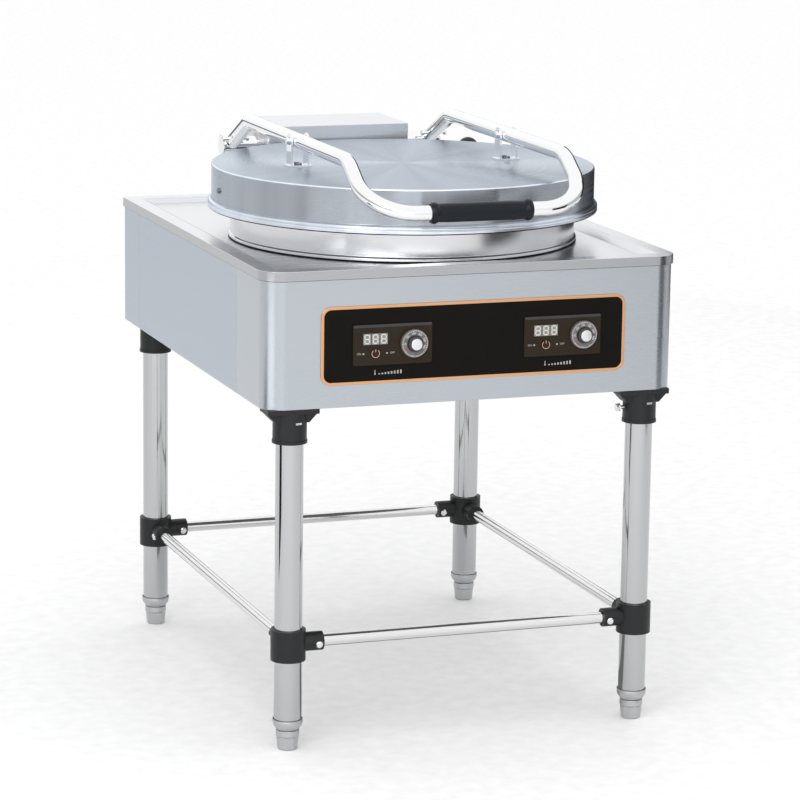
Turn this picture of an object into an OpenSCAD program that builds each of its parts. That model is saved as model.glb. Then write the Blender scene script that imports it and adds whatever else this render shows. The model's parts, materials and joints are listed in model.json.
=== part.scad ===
// Floor-standing electric griddle with a hinged round lid.
// Millimetres, X to the right, Y to the back, Z up, origin on the floor under the middle.

/* [Cabinet] */
// Width of the worktop
body_w = 710; // [680:2:760]
// Depth of the worktop
body_d = 864; // [840:2:960]
// Height of the worktop's rim above the floor
top_z = 787; // [700:1:880]
// Height of the cabinet from its underside to the rim
cabinet_h = 222; // [200:1:280]
// Height of the worktop's outer skirt
rim_h = 16; // [12:1:24]
// Width of the raised rim
rim_w = 28; // [20:1:30]
// Depth of the worktop's recess
recess = 8; // [4:0.5:10]
// Radius of the front corners of the worktop
corner_r = 38; // [20:1:50]
// Radius of the rear corners of the worktop
rear_r = 6; // [5:1:20]
// Radius of the recess's corners
recess_r = 8; // [4:1:20]
// Thickness of the worktop sheet
top_sheet = 2; // [1:0.5:3]
// Thickness of the panel sheet
sheet = 1.5; // [1:0.5:2]
// Step from the worktop's edge in to the panels
body_inset = 3; // [2.5:0.5:5]
// Length of the front panel's returns along the sides
front_return = 155; // [90:1:200]
// Length of the rear panel's returns along the sides
rear_return = 103; // [60:1:150]
// Number of vent slots in the rear panel
vents = 6; // [2:1:9]
// Length of a vent slot
vent_l = 70; // [40:1:90]
// Height of a vent slot
vent_h = 4; // [2:0.5:6]
// Step from one vent slot to the next
vent_step = 14; // [10:1:16]

/* [Control panel] */
// Width of the black panel over its trim
fascia_w = 520; // [500:1:600]
// Height of the black panel over its trim
fascia_h = 127; // [110:1:150]
// Outer corner radius of the trim
fascia_r = 17; // [10:1:25]
// Depth of the panel's middle below the rim
fascia_drop = 122.5; // [105:0.5:130]
// Thickness of the black panel
fascia_t = 1.5; // [1:0.5:3]
// Width of the trim
trim_w = 5; // [3:0.5:8]
// Thickness of the trim
trim_t = 2.2; // [1.6:0.1:4]
// Width of a controller's bezel
bezel_w = 133; // [125:1:150]
// Height of a controller's bezel
bezel_h = 66; // [62:1:90]
// Thickness of a controller's bezel
bezel_t = 2.5; // [2:0.5:4]
// Overlap of the bezel round its cut-out
bezel_lap = 6; // [3:1:8]
// Depth of a controller's housing behind the panel
housing_d = 48; // [30:1:55]
// Distance of the left controller from the middle
left_x = 141; // [110:1:150]
// Distance of the right controller from the middle
right_x = 150; // [110:1:160]
// Width of a display window
display_w = 42; // [36:1:48]
// Height of a display window
display_h = 19; // [16:0.5:24]
// Thickness of a display window
display_t = 1.5; // [1:0.5:2]
// Display window's place left of the bezel's middle
display_x = 29; // [27:1:33]
// Display window's place above the bezel's middle
display_z = 9.3; // [8.5:0.1:11]
// Diameter of a power key
key_d = 15; // [10:0.5:17]
// Power key's place below the bezel's middle
key_z = 14; // [12:0.5:18]
// Power key's stand-out from the bezel
key_proud = 1.6; // [1.2:0.1:3]
// Travel of a power key
key_travel = 1; // [0.5:0.1:1.1]
// Depth of the power key's pocket
key_pocket = 6; // [4:0.5:12]
// Diameter of a dial knob
knob_d = 46; // [36:1:52]
// Height of a dial knob's skirt
knob_h = 9; // [6:0.5:12]
// Diameter of a dial knob's centre cap
cap_d = 19; // [12:1:24]
// Height of a dial knob's centre cap above its skirt
cap_h = 8; // [4:0.5:10]
// Dial knob's place right of the bezel's middle
knob_x = 35.5; // [30:0.5:38]
// Diameter of a dial knob's stem
stem_d = 6; // [4:0.5:8]
// Length of a dial knob's stem in its housing
stem_l = 14; // [8:1:20]

/* [Legs] */
// Outer diameter of a leg tube
leg_d = 45; // [38:1:48]
// Wall of a leg tube
leg_wall = 1.5; // [1:0.25:3]
// Leg axis from the worktop's side edge
leg_inset_x = 53; // [46:1:70]
// Front leg axis from the worktop's front edge
leg_inset_front = 30; // [30:1:60]
// Rear leg axis from the worktop's rear edge
leg_inset_rear = 30; // [30:1:60]
// Width of a leg socket's flange
flange_w = 86; // [76:1:90]
// Depth of a leg socket's flange
flange_d = 54; // [50:1:60]
// Thickness of a leg socket's flange
flange_t = 8; // [5:0.5:10]
// Corner radius of a leg socket's flange
flange_r = 6; // [3:1:12]
// Height of a leg socket
socket_h = 57; // [50:1:80]
// Wall of a leg socket's cup
cup_wall = 5; // [4:0.5:8]
// Height of the lip at the mouth of a leg socket
lip_h = 5; // [3:0.5:10]
// Stand-out of the lip at the mouth of a leg socket
lip_out = 1; // [1:0.25:3]
// Height of a leg socket's gusset
gusset_h = 15; // [8:1:20]
// Thickness of a leg socket's gusset
gusset_t = 34; // [6:1:40]
// Depth of a leg screw below its socket's flange
screw_drop = 24; // [20:1:34]
// Diameter of a leg screw's shank
screw_d = 6; // [4:0.5:8]
// Diameter of a leg screw's head
screw_head_d = 13; // [10:0.5:16]
// Length of a leg screw's head
screw_head_h = 7; // [4:0.5:10]
// Stand-off of a leg screw's head from its socket
screw_off = 8; // [0:0.5:12]

/* [Leg bracing] */
// Outer diameter of a brace tube
brace_d = 19; // [16:0.5:22]
// Wall of a brace tube
brace_wall = 1.2; // [0.8:0.1:2]
// Height of the brace tubes above the floor
brace_z = 177; // [150:1:300]
// Height of a clamp
clamp_h = 51; // [44:1:70]
// Wall of a clamp round its leg
clamp_wall = 6; // [5:0.5:9]
// Drop of a clamp's middle below the braces
clamp_drop = 2; // [0:0.5:8]
// Length of a clamp's sleeve from the leg's axis
sleeve_l = 57; // [54:1:80]
// Wall of a clamp's sleeve
sleeve_wall = 6; // [4:0.5:7]
// Width of the slit under a clamp's sleeve
slit_w = 3; // [2:0.5:5]
// Distance of a brace's end from the leg's axis
brace_stop = 34; // [33:1:40]
// Distance of a clamp bolt from the sleeve's mouth
clamp_bolt_in = 9; // [7:0.5:14]
// Diameter of a clamp bolt's shank
clamp_bolt_d = 6; // [4:0.5:8]
// Diameter of a clamp bolt's head
clamp_bolt_head_d = 12; // [8:0.5:14]
// Height of a clamp bolt's head
clamp_bolt_head_h = 4; // [2:0.5:6]
// Angle of a clamp bolt below level
clamp_bolt_tilt = 10; // [0:1:40]

/* [Feet] */
// Height of a foot under its collar
foot_h = 33; // [26:1:45]
// Diameter of a foot at its top
foot_top_d = 38; // [30:1:44]
// Diameter of a foot at the floor
foot_bottom_d = 34; // [26:1:40]
// Bevel at the foot's lower edge
foot_bevel = 3; // [1:0.5:5]
// Height of the collar above a foot
collar_h = 18; // [10:1:24]
// Stand-out of the collar from the leg tube
collar_out = 2; // [1:0.5:4]
// Bevel under the collar
collar_bevel = 6; // [2:0.5:8]
// Length of the plug in the leg tube
plug_h = 32; // [30:1:60]
// Diameter of a foot's stud
stud_d = 12; // [8:0.5:16]
// Length of a foot's stud
stud_l = 42; // [36:1:46]

/* [Lower pan] */
// Middle of the pan in front of the cabinet's middle
pan_forward = 72; // [60:1:80]
// Outer radius of the pan
pan_r = 283; // [270:1:290]
// Wall of the pan
pan_wall = 8; // [5:0.5:12]
// Thickness of the pan's floor
pan_floor = 14; // [8:0.5:20]
// Depth of the pan's well
well_depth = 34; // [28:0.5:38]
// Thickness of the ring round the pan
ring_t = 2; // [1:0.5:3]
// Height of the ring above the worktop's recess
ring_h = 47; // [44:0.5:60]
// Play between the pan and its ring
ring_play = 5.5; // [5:0.5:10]
// Clear height under the ring's bead
bead_clear = 0.5; // [0.3:0.1:20]
// Radius of the ring's bead
bead_r = 4; // [2:0.5:6]
// Diameter of the heating rods
rod_d = 10; // [6:0.5:12]
// Distance of a heating rod's outer turn in from the pan's edge
rod_inset = 49; // [43:1:73]
// Step between the turns of a heating rod
rod_step = 48; // [40:1:50]
// Length of a heating rod's terminals
terminal_l = 90; // [80:1:100]
// Diameter of a heating rod's terminals
terminal_d = 13; // [12.5:0.5:16]
// Thickness of the lower insulation
insulation_h = 55; // [40:1:60]

/* [Lid] */
// Radius of the lid's side band
lid_r = 323; // [312:1:330]
// Height of the lid
lid_h = 73.5; // [70:0.5:90]
// Thickness of the lid's sheet
lid_t = 1.5; // [1:0.5:3]
// Radius of the lid's upper edge
lid_edge_r = 4; // [3.5:0.5:8]
// Clear height between the pan's ring and the lid
lid_gap = 3.5; // [2:0.5:14]
// Stand-out of the lid's lower flange
lid_flange_out = 6; // [5:0.5:8]
// Height of the lid's lower flange
lid_flange_h = 14; // [10:0.5:18]
// Edge radius of the lid's lower flange
lid_flange_r = 3; // [2:0.5:4]
// Thickness of the upper plate
plate_t = 16; // [12:0.5:20]
// Clear height between the upper plate and the pan's floor
food_gap = 16; // [12:0.5:18]
// Radial play between the upper plate and the pan's well
well_play = 12; // [8:0.5:14]
// Diameter of a boss on the upper plate
boss_d = 16; // [10:1:20]
// Step from the upper plate's edge in to a boss
boss_inset = 3; // [2:0.5:6]
// Number of bosses on the upper plate
bosses = 6; // [3:1:10]
// Thickness of the lid's lower closing ring
closing_t = 2; // [1:0.5:3]
// Height of the closing ring above the lid's lower edge
closing_up = 7; // [5:0.5:12]
// Thickness of the lid's insulation
lid_insulation_h = 45; // [30:1:48]

/* [Lid frame] */
// Outer diameter of the bent tube
arm_d = 25; // [20:1:28]
// Wall of the bent tube
arm_wall = 2; // [1.5:0.25:3]
// Distance of an arm from the middle
arm_x = 186; // [170:1:200]
// Height of the arms' axis above the lid
arm_clear = 43; // [36:1:60]
// Drop from the arms to the hinge axis
hinge_drop = 55; // [45:1:60]
// Distance of the hinge axis behind the lid's band
hinge_gap = 69; // [66:1:80]
// Run of an arm's rear leg along Y
rear_run = 116; // [100:1:140]
// Bend radius at the rear of an arm
rear_bend_r = 28; // [20:1:60]
// Clear distance from the lid's band to the handle's axis
handle_gap = 50; // [34:1:60]
// Drop from the arms to the handle
handle_drop = 72; // [50:1:80]
// Run of the sloping front leg along Y
front_run = 111; // [100:1:130]
// Bend radius at the front of an arm
front_bend_r = 64; // [40:1:70]
// Bend radius at the handle's corners
handle_bend_r = 80; // [50:1:85]
// Length of the grip
grip_l = 172; // [120:1:190]
// Outer diameter of the grip
grip_d = 31; // [30:0.5:34]
// Outer diameter of the grip's end rings
grip_ring_d = 35; // [34.5:0.5:44]
// Width of the grip's end rings
grip_ring_w = 12; // [6:1:20]
// Distance of a cross bolt from the hinge axis
cross_bolt_out = 32; // [26:1:50]
// Half length of a cross bolt's shank
cross_bolt_half = 20; // [17:0.5:24]
// Diameter of a cross bolt's shank
cross_bolt_d = 6; // [4:0.5:8]
// Diameter of a cross bolt's head
cross_bolt_head_d = 10; // [8.5:0.5:14]
// Height of a cross bolt's head
cross_bolt_head_h = 4; // [2:0.5:6]

/* [Lid saddles] */
// Side play between an arm and its saddle's ears
ear_play = 0.5; // [0.3:0.1:1]
// Thickness of a saddle's ear
ear_t = 3; // [2:0.5:5]
// Width of a saddle's ear
ear_w = 26; // [20:1:34]
// Width of a saddle's base
saddle_w = 42; // [40:1:60]
// Thickness of a saddle's base
saddle_t = 3; // [2:0.5:5]
// Diameter of a pivot bolt
pivot_d = 8; // [6:0.5:10]
// Diameter of a pivot bolt's head
pivot_head_d = 13; // [12:0.5:18]
// Height of a pivot bolt's head
pivot_head_h = 5; // [3:0.5:8]
// Diameter of a lid screw's shank
lid_screw_d = 5; // [3:0.5:6]
// Length of a lid screw's shank
lid_screw_l = 12; // [8:0.5:16]
// Diameter of a lid screw's head
lid_screw_head_d = 9; // [7:0.5:10]
// Height of a lid screw's head
lid_screw_head_h = 3.5; // [2:0.5:5]
// Distance of a saddle's screws from its middle
lid_screw_y = 7; // [5:0.5:8]

/* [Hinge] */
// Diameter of the hinge shaft
shaft_d = 28; // [27:0.5:30]
// Wall of the hinge shaft
shaft_wall = 3; // [2:0.5:5]
// Stand-out of the shaft beyond the arms
shaft_out = 1.5; // [0.5:0.5:6]
// Diameter of the discs on the shaft's ends
disc_d = 36; // [32:1:44]
// Thickness of the discs on the shaft's ends
disc_t = 4; // [2:0.5:6]
// Width of the hinge box
box_w = 260; // [220:1:270]
// Distance from the hinge box's front to the hinge axis
box_front = 50; // [44:1:52]
// Height of the hinge box above the hinge axis
box_up = 35; // [28:1:36]
// Step from the worktop's rear edge to the hinge box
box_rear_gap = 2; // [1:0.5:10]
// Wall of a hinge bush round the shaft
bush_wall = 2.5; // [2:0.5:4]
// Length of a hinge bush inside the box
bush_in = 16; // [8:1:24]
// Length of a hinge bush's collar outside the box
bush_out = 10; // [6:1:12]
// Stand-out of a hinge bush's collar
bush_lip = 3; // [2:0.5:5]
// Diameter of the balance springs' wire
wire_d = 5; // [3:0.5:6]
// Radial play of the balance springs round the shaft
spring_play = 4; // [2:0.5:5]
// Turns of a balance spring
turns = 6; // [3:1:8]
// Pitch of a balance spring's turns
pitch = 7; // [6.5:0.5:10]

/* [Services] */
// Distance of the lead riser from the worktop's side edge
riser_inset = 80; // [60:1:110]
// Height of the lead riser above the worktop's recess
riser_h = 108; // [100:1:130]
// Diameter of the lead riser's stem
riser_d = 24; // [16:1:30]
// Diameter of the lead riser's head
riser_head_d = 38; // [32:1:44]
// Diameter of the lead riser's foot
riser_foot_d = 52; // [44:1:60]
// Thickness of the lead riser's foot
riser_foot_t = 4; // [2:0.5:6]
// Distance of the cable gland from the middle
gland_x = 200; // [120:1:260]
// Height of the cable gland above the cabinet's underside
gland_z = 55; // [40:1:80]
// Diameter of the cable gland's thread
gland_d = 20; // [16:1:24]
// Width of the cable gland's nuts across their corners
gland_nut_d = 30; // [26:1:40]
// Diameter of the cable gland's dome
gland_dome_d = 24; // [20:1:26]
// Diameter of the cable gland's bore
gland_bore = 10; // [6:0.5:12]
// Thickness of the cable gland's nuts
gland_nut_t = 8.5; // [5:0.5:10]
// Length of the cable gland's dome
gland_dome_l = 25; // [12:0.5:30]
// Width of a contactor
contactor_w = 45; // [40:1:60]
// Depth of a contactor
contactor_d = 72; // [50:1:80]
// Height of a contactor
contactor_h = 82; // [60:1:90]
// Height of a contactor's base
contactor_base_h = 54; // [30:1:58]
// Step from a contactor's base in to its head
contactor_step = 14; // [5:1:20]
// Length of the terminal block
terminals_l = 100; // [60:1:140]
// Depth of the terminal block
terminals_d = 30; // [20:1:40]
// Height of the terminal block
terminals_h = 34; // [20:1:50]
// Number of wells in the terminal block
wells = 4; // [2:1:5]
// Diameter of a well in the terminal block
well_d = 10; // [6:0.5:11]
// Depth of a well in the terminal block
terminal_well = 17; // [8:1:18]

/* [Hidden] */
$fn = 64;
// Radial clearance of pins and shafts that turn or slide in a bore
fit = 0.05;
// Clearance between pieces that pass each other
slip = 0.3;
// Height of a weld above the tube that it joins
weld = 0.3;
// Extra depth of a cut beyond the face it goes through
over = 1;

// Heights
body_z = top_z - cabinet_h;
recess_z = top_z - recess;
ring_top = recess_z + ring_h;
pan_top = ring_top - ring_t;
pan_floor_z = pan_top - well_depth;
pan_z = pan_floor_z - pan_floor;
lid_z = ring_top + lid_gap;
lid_top = lid_z + lid_h;
arm_z = lid_top + arm_clear;
hinge_z = arm_z - hinge_drop;
handle_z = arm_z - handle_drop;
fascia_z = top_z - fascia_drop;
leg_z = foot_h + collar_h;
plate_z = pan_floor_z + food_gap;
closing_z = lid_z + closing_up;

// Places along Y
front_y = -body_d / 2 + body_inset;
rear_y = body_d / 2 - body_inset;
seam_front_y = front_y + front_return;
seam_rear_y = rear_y - rear_return;
fascia_y = front_y - fascia_t;
bezel_y = fascia_y - bezel_t;
pan_y = -pan_forward;
hinge_y = pan_y + lid_r + hinge_gap;
bend_y = hinge_y - rear_run;
handle_y = pan_y - lid_r - handle_gap;
front_bend_y = handle_y + front_run;
box_y = hinge_y - box_front;
box_rear_y = body_d / 2 - box_rear_gap;
services_y = (box_y + rear_y) / 2;

// Sides of the springs' wire, and its steps in a turn
wire_sides = 6;
turn_steps = 8;

// Radii
leg_r = leg_d / 2;
cup_r = leg_r + cup_wall;
lip_r = cup_r + lip_out;
gusset_in = leg_r / 2;
clamp_r = leg_r + clamp_wall;
brace_r = brace_d / 2;
sleeve_r = brace_r + sleeve_wall;
collar_r = leg_r + collar_out;
ring_r = pan_r + ring_play + ring_t;
tray_r = pan_r + ring_play / 4;
hole_r = pan_r + ring_play / 2 + sheet / 2;
plate_r = pan_r - pan_wall - well_play;
rod_r = pan_r - rod_inset;
insulation_r = plate_r - boss_inset - boss_d - 2 * slip;
arm_r = arm_d / 2;
shaft_r = shaft_d / 2;
bush_r = shaft_r + bush_wall;
spring_r = shaft_r + spring_play + wire_d / 2;
wire_reach = wire_d / 2 * sin(360 / wire_sides);

// Angles of the bent tube's sloping legs
rear_angle = atan2(hinge_drop, rear_run);
front_angle = atan2(handle_drop, front_run);
rear_tangent = rear_bend_r * tan(rear_angle / 2);
front_tangent = front_bend_r * tan(front_angle / 2);
front_leg_l = norm([front_run, handle_drop]);
rear_leg_l = norm([rear_run, hinge_drop]);

// Heating rods: turns, and the angle that each leaves open
rod_turns = 4;
rod_open = 14;
rod_ends = [rod_r, rod_r - (rod_turns - 1) * rod_step];

// Legs: sign along X and along Y
LEGS = [[-1, -1], [1, -1], [-1, 1], [1, 1]];
// Direction of each leg's screw, as an angle from +X
SCREW_ANGLES = [90, 180, 90, 180];
// Turn of a leg socket's window from the front
window_turn = 15;
// Width and height of a leg socket's window
window_size = [12, 4];

// Colours
STEEL = [0.80, 0.81, 0.83];
CHROME = [0.88, 0.89, 0.91];
BLACK = [0.09, 0.09, 0.10];
GREY = [0.62, 0.63, 0.64];
COPPER = [0.80, 0.47, 0.24];
IRON = [0.22, 0.22, 0.23];
WOOL = [0.86, 0.80, 0.62];
DIAL = [0.72, 0.72, 0.72];

// Least gap between two neighbouring turns of a balance spring
echo(spring_gap = pitch - wire_d);

// Place of a leg's axis
function leg_place(i) = [
    LEGS[i][0] * (body_w / 2 - leg_inset_x),
    LEGS[i][1] < 0 ? -body_d / 2 + leg_inset_front : body_d / 2 - leg_inset_rear,
    0
];

// Rounded rectangle about the origin, with its own front and rear corner radii
module rounded(w, d, front, rear) {
    translate([-w / 2, -d / 2 + front])
        square([w, d - front - rear]);
    translate([-w / 2 + front, -d / 2])
        square([w - 2 * front, d / 2]);
    translate([-w / 2 + rear, 0])
        square([w - 2 * rear, d / 2]);
    for (s = [-1, 1]) {
        translate([s * (w / 2 - front), -d / 2 + front])
            circle(front);
        translate([s * (w / 2 - rear), d / 2 - rear])
            circle(rear);
    }
}

// The worktop's outline, drawn in from its edge by a step
module outline(step) {
    rounded(body_w - 2 * step, body_d - 2 * step, corner_r - step, rear_r - step);
}

// The recess's outline, drawn in from the inner side of the rim by a step
module recess_outline(step) {
    rounded(body_w - 2 * rim_w - 2 * step, body_d - 2 * rim_w - 2 * step, recess_r - step, recess_r - step);
}

// Turns +Z to +X or -X, and to +Y or -Y
module along_x(s) {
    rotate([0, 90 * s, 0])
        children();
}

module along_y(s) {
    rotate([-90 * s, 0, 0])
        children();
}

// Stands a drawing up on the front, growing towards -Y
module on_front(y, z) {
    translate([0, y, z])
        rotate([90, 0, 0])
            children();
}

// Tube from a length, an outer radius and a wall
module tube(length, r, wall) {
    difference() {
        cylinder(h = length, r = r);
        translate([0, 0, -over])
            cylinder(h = length + 2 * over, r = r - wall);
    }
}

// Thin weld round the joint between two runs of tube or rod, about the origin along Z
module weld_ring(r) {
    translate([0, 0, -over])
        cylinder(h = 2 * over, r = r + weld);
}

// Bolt along +Z: shank up to the origin and a head above it
module bolt(shank_d, shank_l, head_d, head_h) {
    translate([0, 0, -shank_l])
        cylinder(h = shank_l + head_h / 2, d = shank_d);
    cylinder(h = head_h, d = head_d);
}

// Legs, sockets and feet

module leg(i) {
    color(CHROME)
        translate(leg_place(i) + [0, 0, leg_z])
            tube(body_z - flange_t - leg_z, leg_r, leg_wall);
}

// Reach of a leg socket's flange to one side: a rear socket has no lobe on its outer side
function flange_reach(i, s) = LEGS[i][1] > 0 && LEGS[i][0] == s ? cup_r : flange_w / 2;

module leg_socket(i) {
    left = flange_reach(i, -1);
    right = flange_reach(i, 1);
    difference() {
        union() {
            translate([(right - left) / 2, 0, -flange_t])
                linear_extrude(flange_t)
                    rounded(left + right, flange_d, flange_r, flange_r);
            translate([0, 0, -socket_h])
                cylinder(h = socket_h - flange_t / 2, r = cup_r);
            translate([0, 0, -socket_h])
                cylinder(h = lip_h, r = lip_r);
            for (s = [-1, 1])
                if (flange_reach(i, s) > cup_r)
                    mirror([s < 0 ? 1 : 0, 0, 0])
                        socket_gusset();
        }
        translate([0, 0, -socket_h - over])
            cylinder(h = socket_h - flange_t + over, r = leg_r + fit);
        rotate([0, 0, window_turn])
            translate([-window_size[0] / 2, -cup_r - lip_out, -flange_t - gusset_h - window_size[1] / 2])
                cube([window_size[0], cup_r, window_size[1]]);
        rotate([0, 0, SCREW_ANGLES[i]])
            translate([0, 0, -flange_t - screw_drop])
                along_x(1)
                    cylinder(h = 2 * cup_r, d = screw_d + 2 * fit);
    }
}

// Rib from a socket's cup out to the end of its flange, towards +X
module socket_gusset() {
    rotate([90, 0, 0])
        linear_extrude(gusset_t, center = true)
            polygon([
                [gusset_in, -flange_t / 2],
                [flange_w / 2 - over, -flange_t / 2],
                [flange_w / 2 - over, -flange_t],
                [cup_r, -flange_t - gusset_h],
                [gusset_in, -flange_t - gusset_h]
            ]);
}

module leg_sockets() {
    color(BLACK)
        for (i = [0:3])
            translate(leg_place(i) + [0, 0, body_z])
                leg_socket(i);
}

module leg_screws() {
    color(CHROME)
        for (i = [0:3])
            translate(leg_place(i) + [0, 0, body_z - flange_t - screw_drop])
                rotate([0, 0, SCREW_ANGLES[i]])
                    along_x(1)
                        translate([0, 0, cup_r + screw_off])
                            bolt(screw_d, cup_wall + screw_off - fit, screw_head_d, screw_head_h);
}

module foot_inserts() {
    color(GREY)
        for (i = [0:3])
            translate(leg_place(i) + [0, 0, foot_h])
                rotate_extrude()
                    polygon([
                        [stud_d / 2 + fit, 0],
                        [collar_r - collar_bevel, 0],
                        [collar_r, collar_bevel],
                        [collar_r, collar_h],
                        [leg_r - leg_wall - fit, collar_h],
                        [leg_r - leg_wall - fit, collar_h + plug_h],
                        [stud_d / 2 + fit, collar_h + plug_h]
                    ]);
}

module foot(i) {
    color(GREY)
        translate(leg_place(i))
            rotate_extrude()
                polygon([
                    [0, 0],
                    [foot_bottom_d / 2 - foot_bevel, 0],
                    [foot_bottom_d / 2, foot_bevel],
                    [foot_top_d / 2, foot_h - slip],
                    [stud_d / 2, foot_h - slip],
                    [stud_d / 2, foot_h + stud_l],
                    [0, foot_h + stud_l]
                ]);
}

// Bracing between the legs

module brace_clamp(i) {
    inward_x = -LEGS[i][0];
    inward_y = -LEGS[i][1];
    color(BLACK)
        translate(leg_place(i) + [0, 0, brace_z])
            difference() {
                union() {
                    translate([0, 0, -clamp_drop - clamp_h / 2])
                        cylinder(h = clamp_h, r = clamp_r);
                    along_x(inward_x)
                        cylinder(h = sleeve_l, r = sleeve_r);
                    along_y(inward_y)
                        cylinder(h = sleeve_l, r = sleeve_r);
                }
                translate([0, 0, -clamp_drop - clamp_h / 2 - over])
                    cylinder(h = clamp_h + 2 * over, r = leg_r + fit);
                along_x(inward_x)
                    brace_seat();
                along_y(inward_y)
                    brace_seat();
                sleeve_slit([inward_x, 0]);
                sleeve_slit([0, inward_y]);
                clamp_bolt_places(i)
                    cylinder(h = 2 * sleeve_r, d = clamp_bolt_d + 2 * fit);
            }
}

// Bore that a brace's end sits in
module brace_seat() {
    translate([0, 0, brace_stop])
        cylinder(h = sleeve_l - brace_stop + over, r = brace_r + fit);
}

// Slit along the underside of a sleeve that runs along a level direction
module sleeve_slit(dir) {
    rotate([0, 0, atan2(dir[1], dir[0])])
        translate([clamp_r + over, -slit_w / 2, -2 * sleeve_r])
            cube([sleeve_l - clamp_r, slit_w, 2 * sleeve_r]);
}

// Clamp bolts point outwards from each sleeve's axis
module clamp_bolt_places(i) {
    translate([-LEGS[i][0] * (sleeve_l - clamp_bolt_in), 0, 0])
        rotate([90 + clamp_bolt_tilt, 0, 0])
            children();
    translate([0, -LEGS[i][1] * (sleeve_l - clamp_bolt_in), 0])
        rotate([0, LEGS[i][0] * (90 + clamp_bolt_tilt), 0])
            children();
}

module clamp_bolts() {
    color(CHROME)
        for (i = [0:3])
            translate(leg_place(i) + [0, 0, brace_z])
                clamp_bolt_places(i)
                    translate([0, 0, sleeve_r])
                        bolt(clamp_bolt_d, sleeve_wall - fit, clamp_bolt_head_d, clamp_bolt_head_h);
}

module brace_across(i) {
    color(CHROME)
        translate(leg_place(i) + [brace_stop, 0, brace_z])
            along_x(1)
                tube(body_w - 2 * leg_inset_x - 2 * brace_stop, brace_r, brace_wall);
}

module brace_along(i) {
    color(CHROME)
        translate(leg_place(i) + [0, brace_stop, brace_z])
            along_y(1)
                tube(body_d - leg_inset_front - leg_inset_rear - 2 * brace_stop, brace_r, brace_wall);
}

// Cabinet

module worktop() {
    color(STEEL)
        difference() {
            translate([0, 0, top_z - rim_h])
                linear_extrude(rim_h)
                    outline(0);
            translate([0, 0, recess_z])
                linear_extrude(recess + over)
                    recess_outline(0);
            translate([0, 0, top_z - rim_h - over])
                linear_extrude(rim_h - top_sheet + over)
                    difference() {
                        outline(top_sheet);
                        recess_outline(-top_sheet);
                    }
            translate([0, 0, top_z - rim_h - over])
                linear_extrude(rim_h - recess - top_sheet + over)
                    recess_outline(-top_sheet - over);
            translate([0, pan_y, recess_z - rim_h])
                cylinder(h = 2 * rim_h, r = hole_r);
        }
}

// All four walls of the cabinet as one strip of sheet
module walls() {
    translate([0, 0, body_z])
        linear_extrude(top_z - top_sheet - body_z)
            difference() {
                outline(body_inset);
                outline(body_inset + sheet);
            }
}

// Slab between two places along Y, for parting the walls at their seams
module slab(y0, y1, x0, x1) {
    translate([x0, y0, body_z - over])
        cube([x1 - x0, y1 - y0, cabinet_h + 2 * over]);
}

module front_panel() {
    color(STEEL)
        difference() {
            intersection() {
                walls();
                slab(-body_d, seam_front_y, -body_w, body_w);
            }
            controller_cutouts(sheet);
        }
}

module side_panel(s) {
    color(STEEL)
        intersection() {
            walls();
            slab(seam_front_y, seam_rear_y, s < 0 ? -body_w : 0, s < 0 ? 0 : body_w);
        }
}

module rear_panel() {
    color(STEEL)
        difference() {
            intersection() {
                walls();
                slab(seam_rear_y, body_d, -body_w, body_w);
            }
            translate([gland_x, rear_y - sheet - over, body_z + gland_z])
                along_y(1)
                    cylinder(h = sheet + 2 * over, d = gland_d + 2 * fit);
            for (k = [0:vents - 1])
                translate([-gland_x - vent_l / 2, rear_y - sheet - over, body_z + gland_z + k * vent_step])
                    cube([vent_l, sheet + 2 * over, vent_h]);
        }
}

module base_plate() {
    color(STEEL)
        translate([0, 0, body_z])
            linear_extrude(sheet)
                outline(body_inset + sheet);
}

// Control panel

// Openings for the controllers' housings, from the front through a depth
module controller_cutouts(depth) {
    for (x = [-left_x, right_x])
        translate([
            x - bezel_w / 2 + bezel_lap - slip,
            front_y - over,
            fascia_z - bezel_h / 2 + bezel_lap - slip
        ])
            cube([
                bezel_w - 2 * bezel_lap + 2 * slip,
                depth + 2 * over,
                bezel_h - 2 * bezel_lap + 2 * slip
            ]);
}

module fascia() {
    color(BLACK)
        on_front(front_y, fascia_z)
            linear_extrude(fascia_t)
                difference() {
                    rounded(
                        fascia_w - 2 * trim_w,
                        fascia_h - 2 * trim_w,
                        fascia_r - trim_w,
                        fascia_r - trim_w
                    );
                    for (x = [-left_x, right_x])
                        translate([x, 0])
                            square([
                                bezel_w - 2 * bezel_lap + 2 * slip,
                                bezel_h - 2 * bezel_lap + 2 * slip
                            ], center = true);
                }
}

module fascia_trim() {
    color(COPPER)
        on_front(front_y, fascia_z)
            linear_extrude(trim_t)
                difference() {
                    rounded(fascia_w, fascia_h, fascia_r, fascia_r);
                    rounded(
                        fascia_w - 2 * trim_w,
                        fascia_h - 2 * trim_w,
                        fascia_r - trim_w,
                        fascia_r - trim_w
                    );
                }
}

module controller(x) {
    color(BLACK)
        difference() {
            union() {
                translate([x, 0, 0])
                    on_front(fascia_y, fascia_z)
                        linear_extrude(bezel_t)
                            rounded(bezel_w, bezel_h, bezel_lap / 2, bezel_lap / 2);
                translate([
                    x - bezel_w / 2 + bezel_lap,
                    fascia_y - bezel_t / 2,
                    fascia_z - bezel_h / 2 + bezel_lap
                ])
                    cube([bezel_w - 2 * bezel_lap, housing_d, bezel_h - 2 * bezel_lap]);
            }
            display_block(x, display_t + over, fit);
            translate([x - display_x, bezel_y - over, fascia_z - key_z])
                along_y(1)
                    cylinder(h = key_pocket + over, d = key_d + 2 * slip);
            translate([x + knob_x, bezel_y - over, fascia_z])
                along_y(1)
                    cylinder(h = stem_l + 2 * over, d = stem_d + 2 * fit);
        }
}

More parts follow.
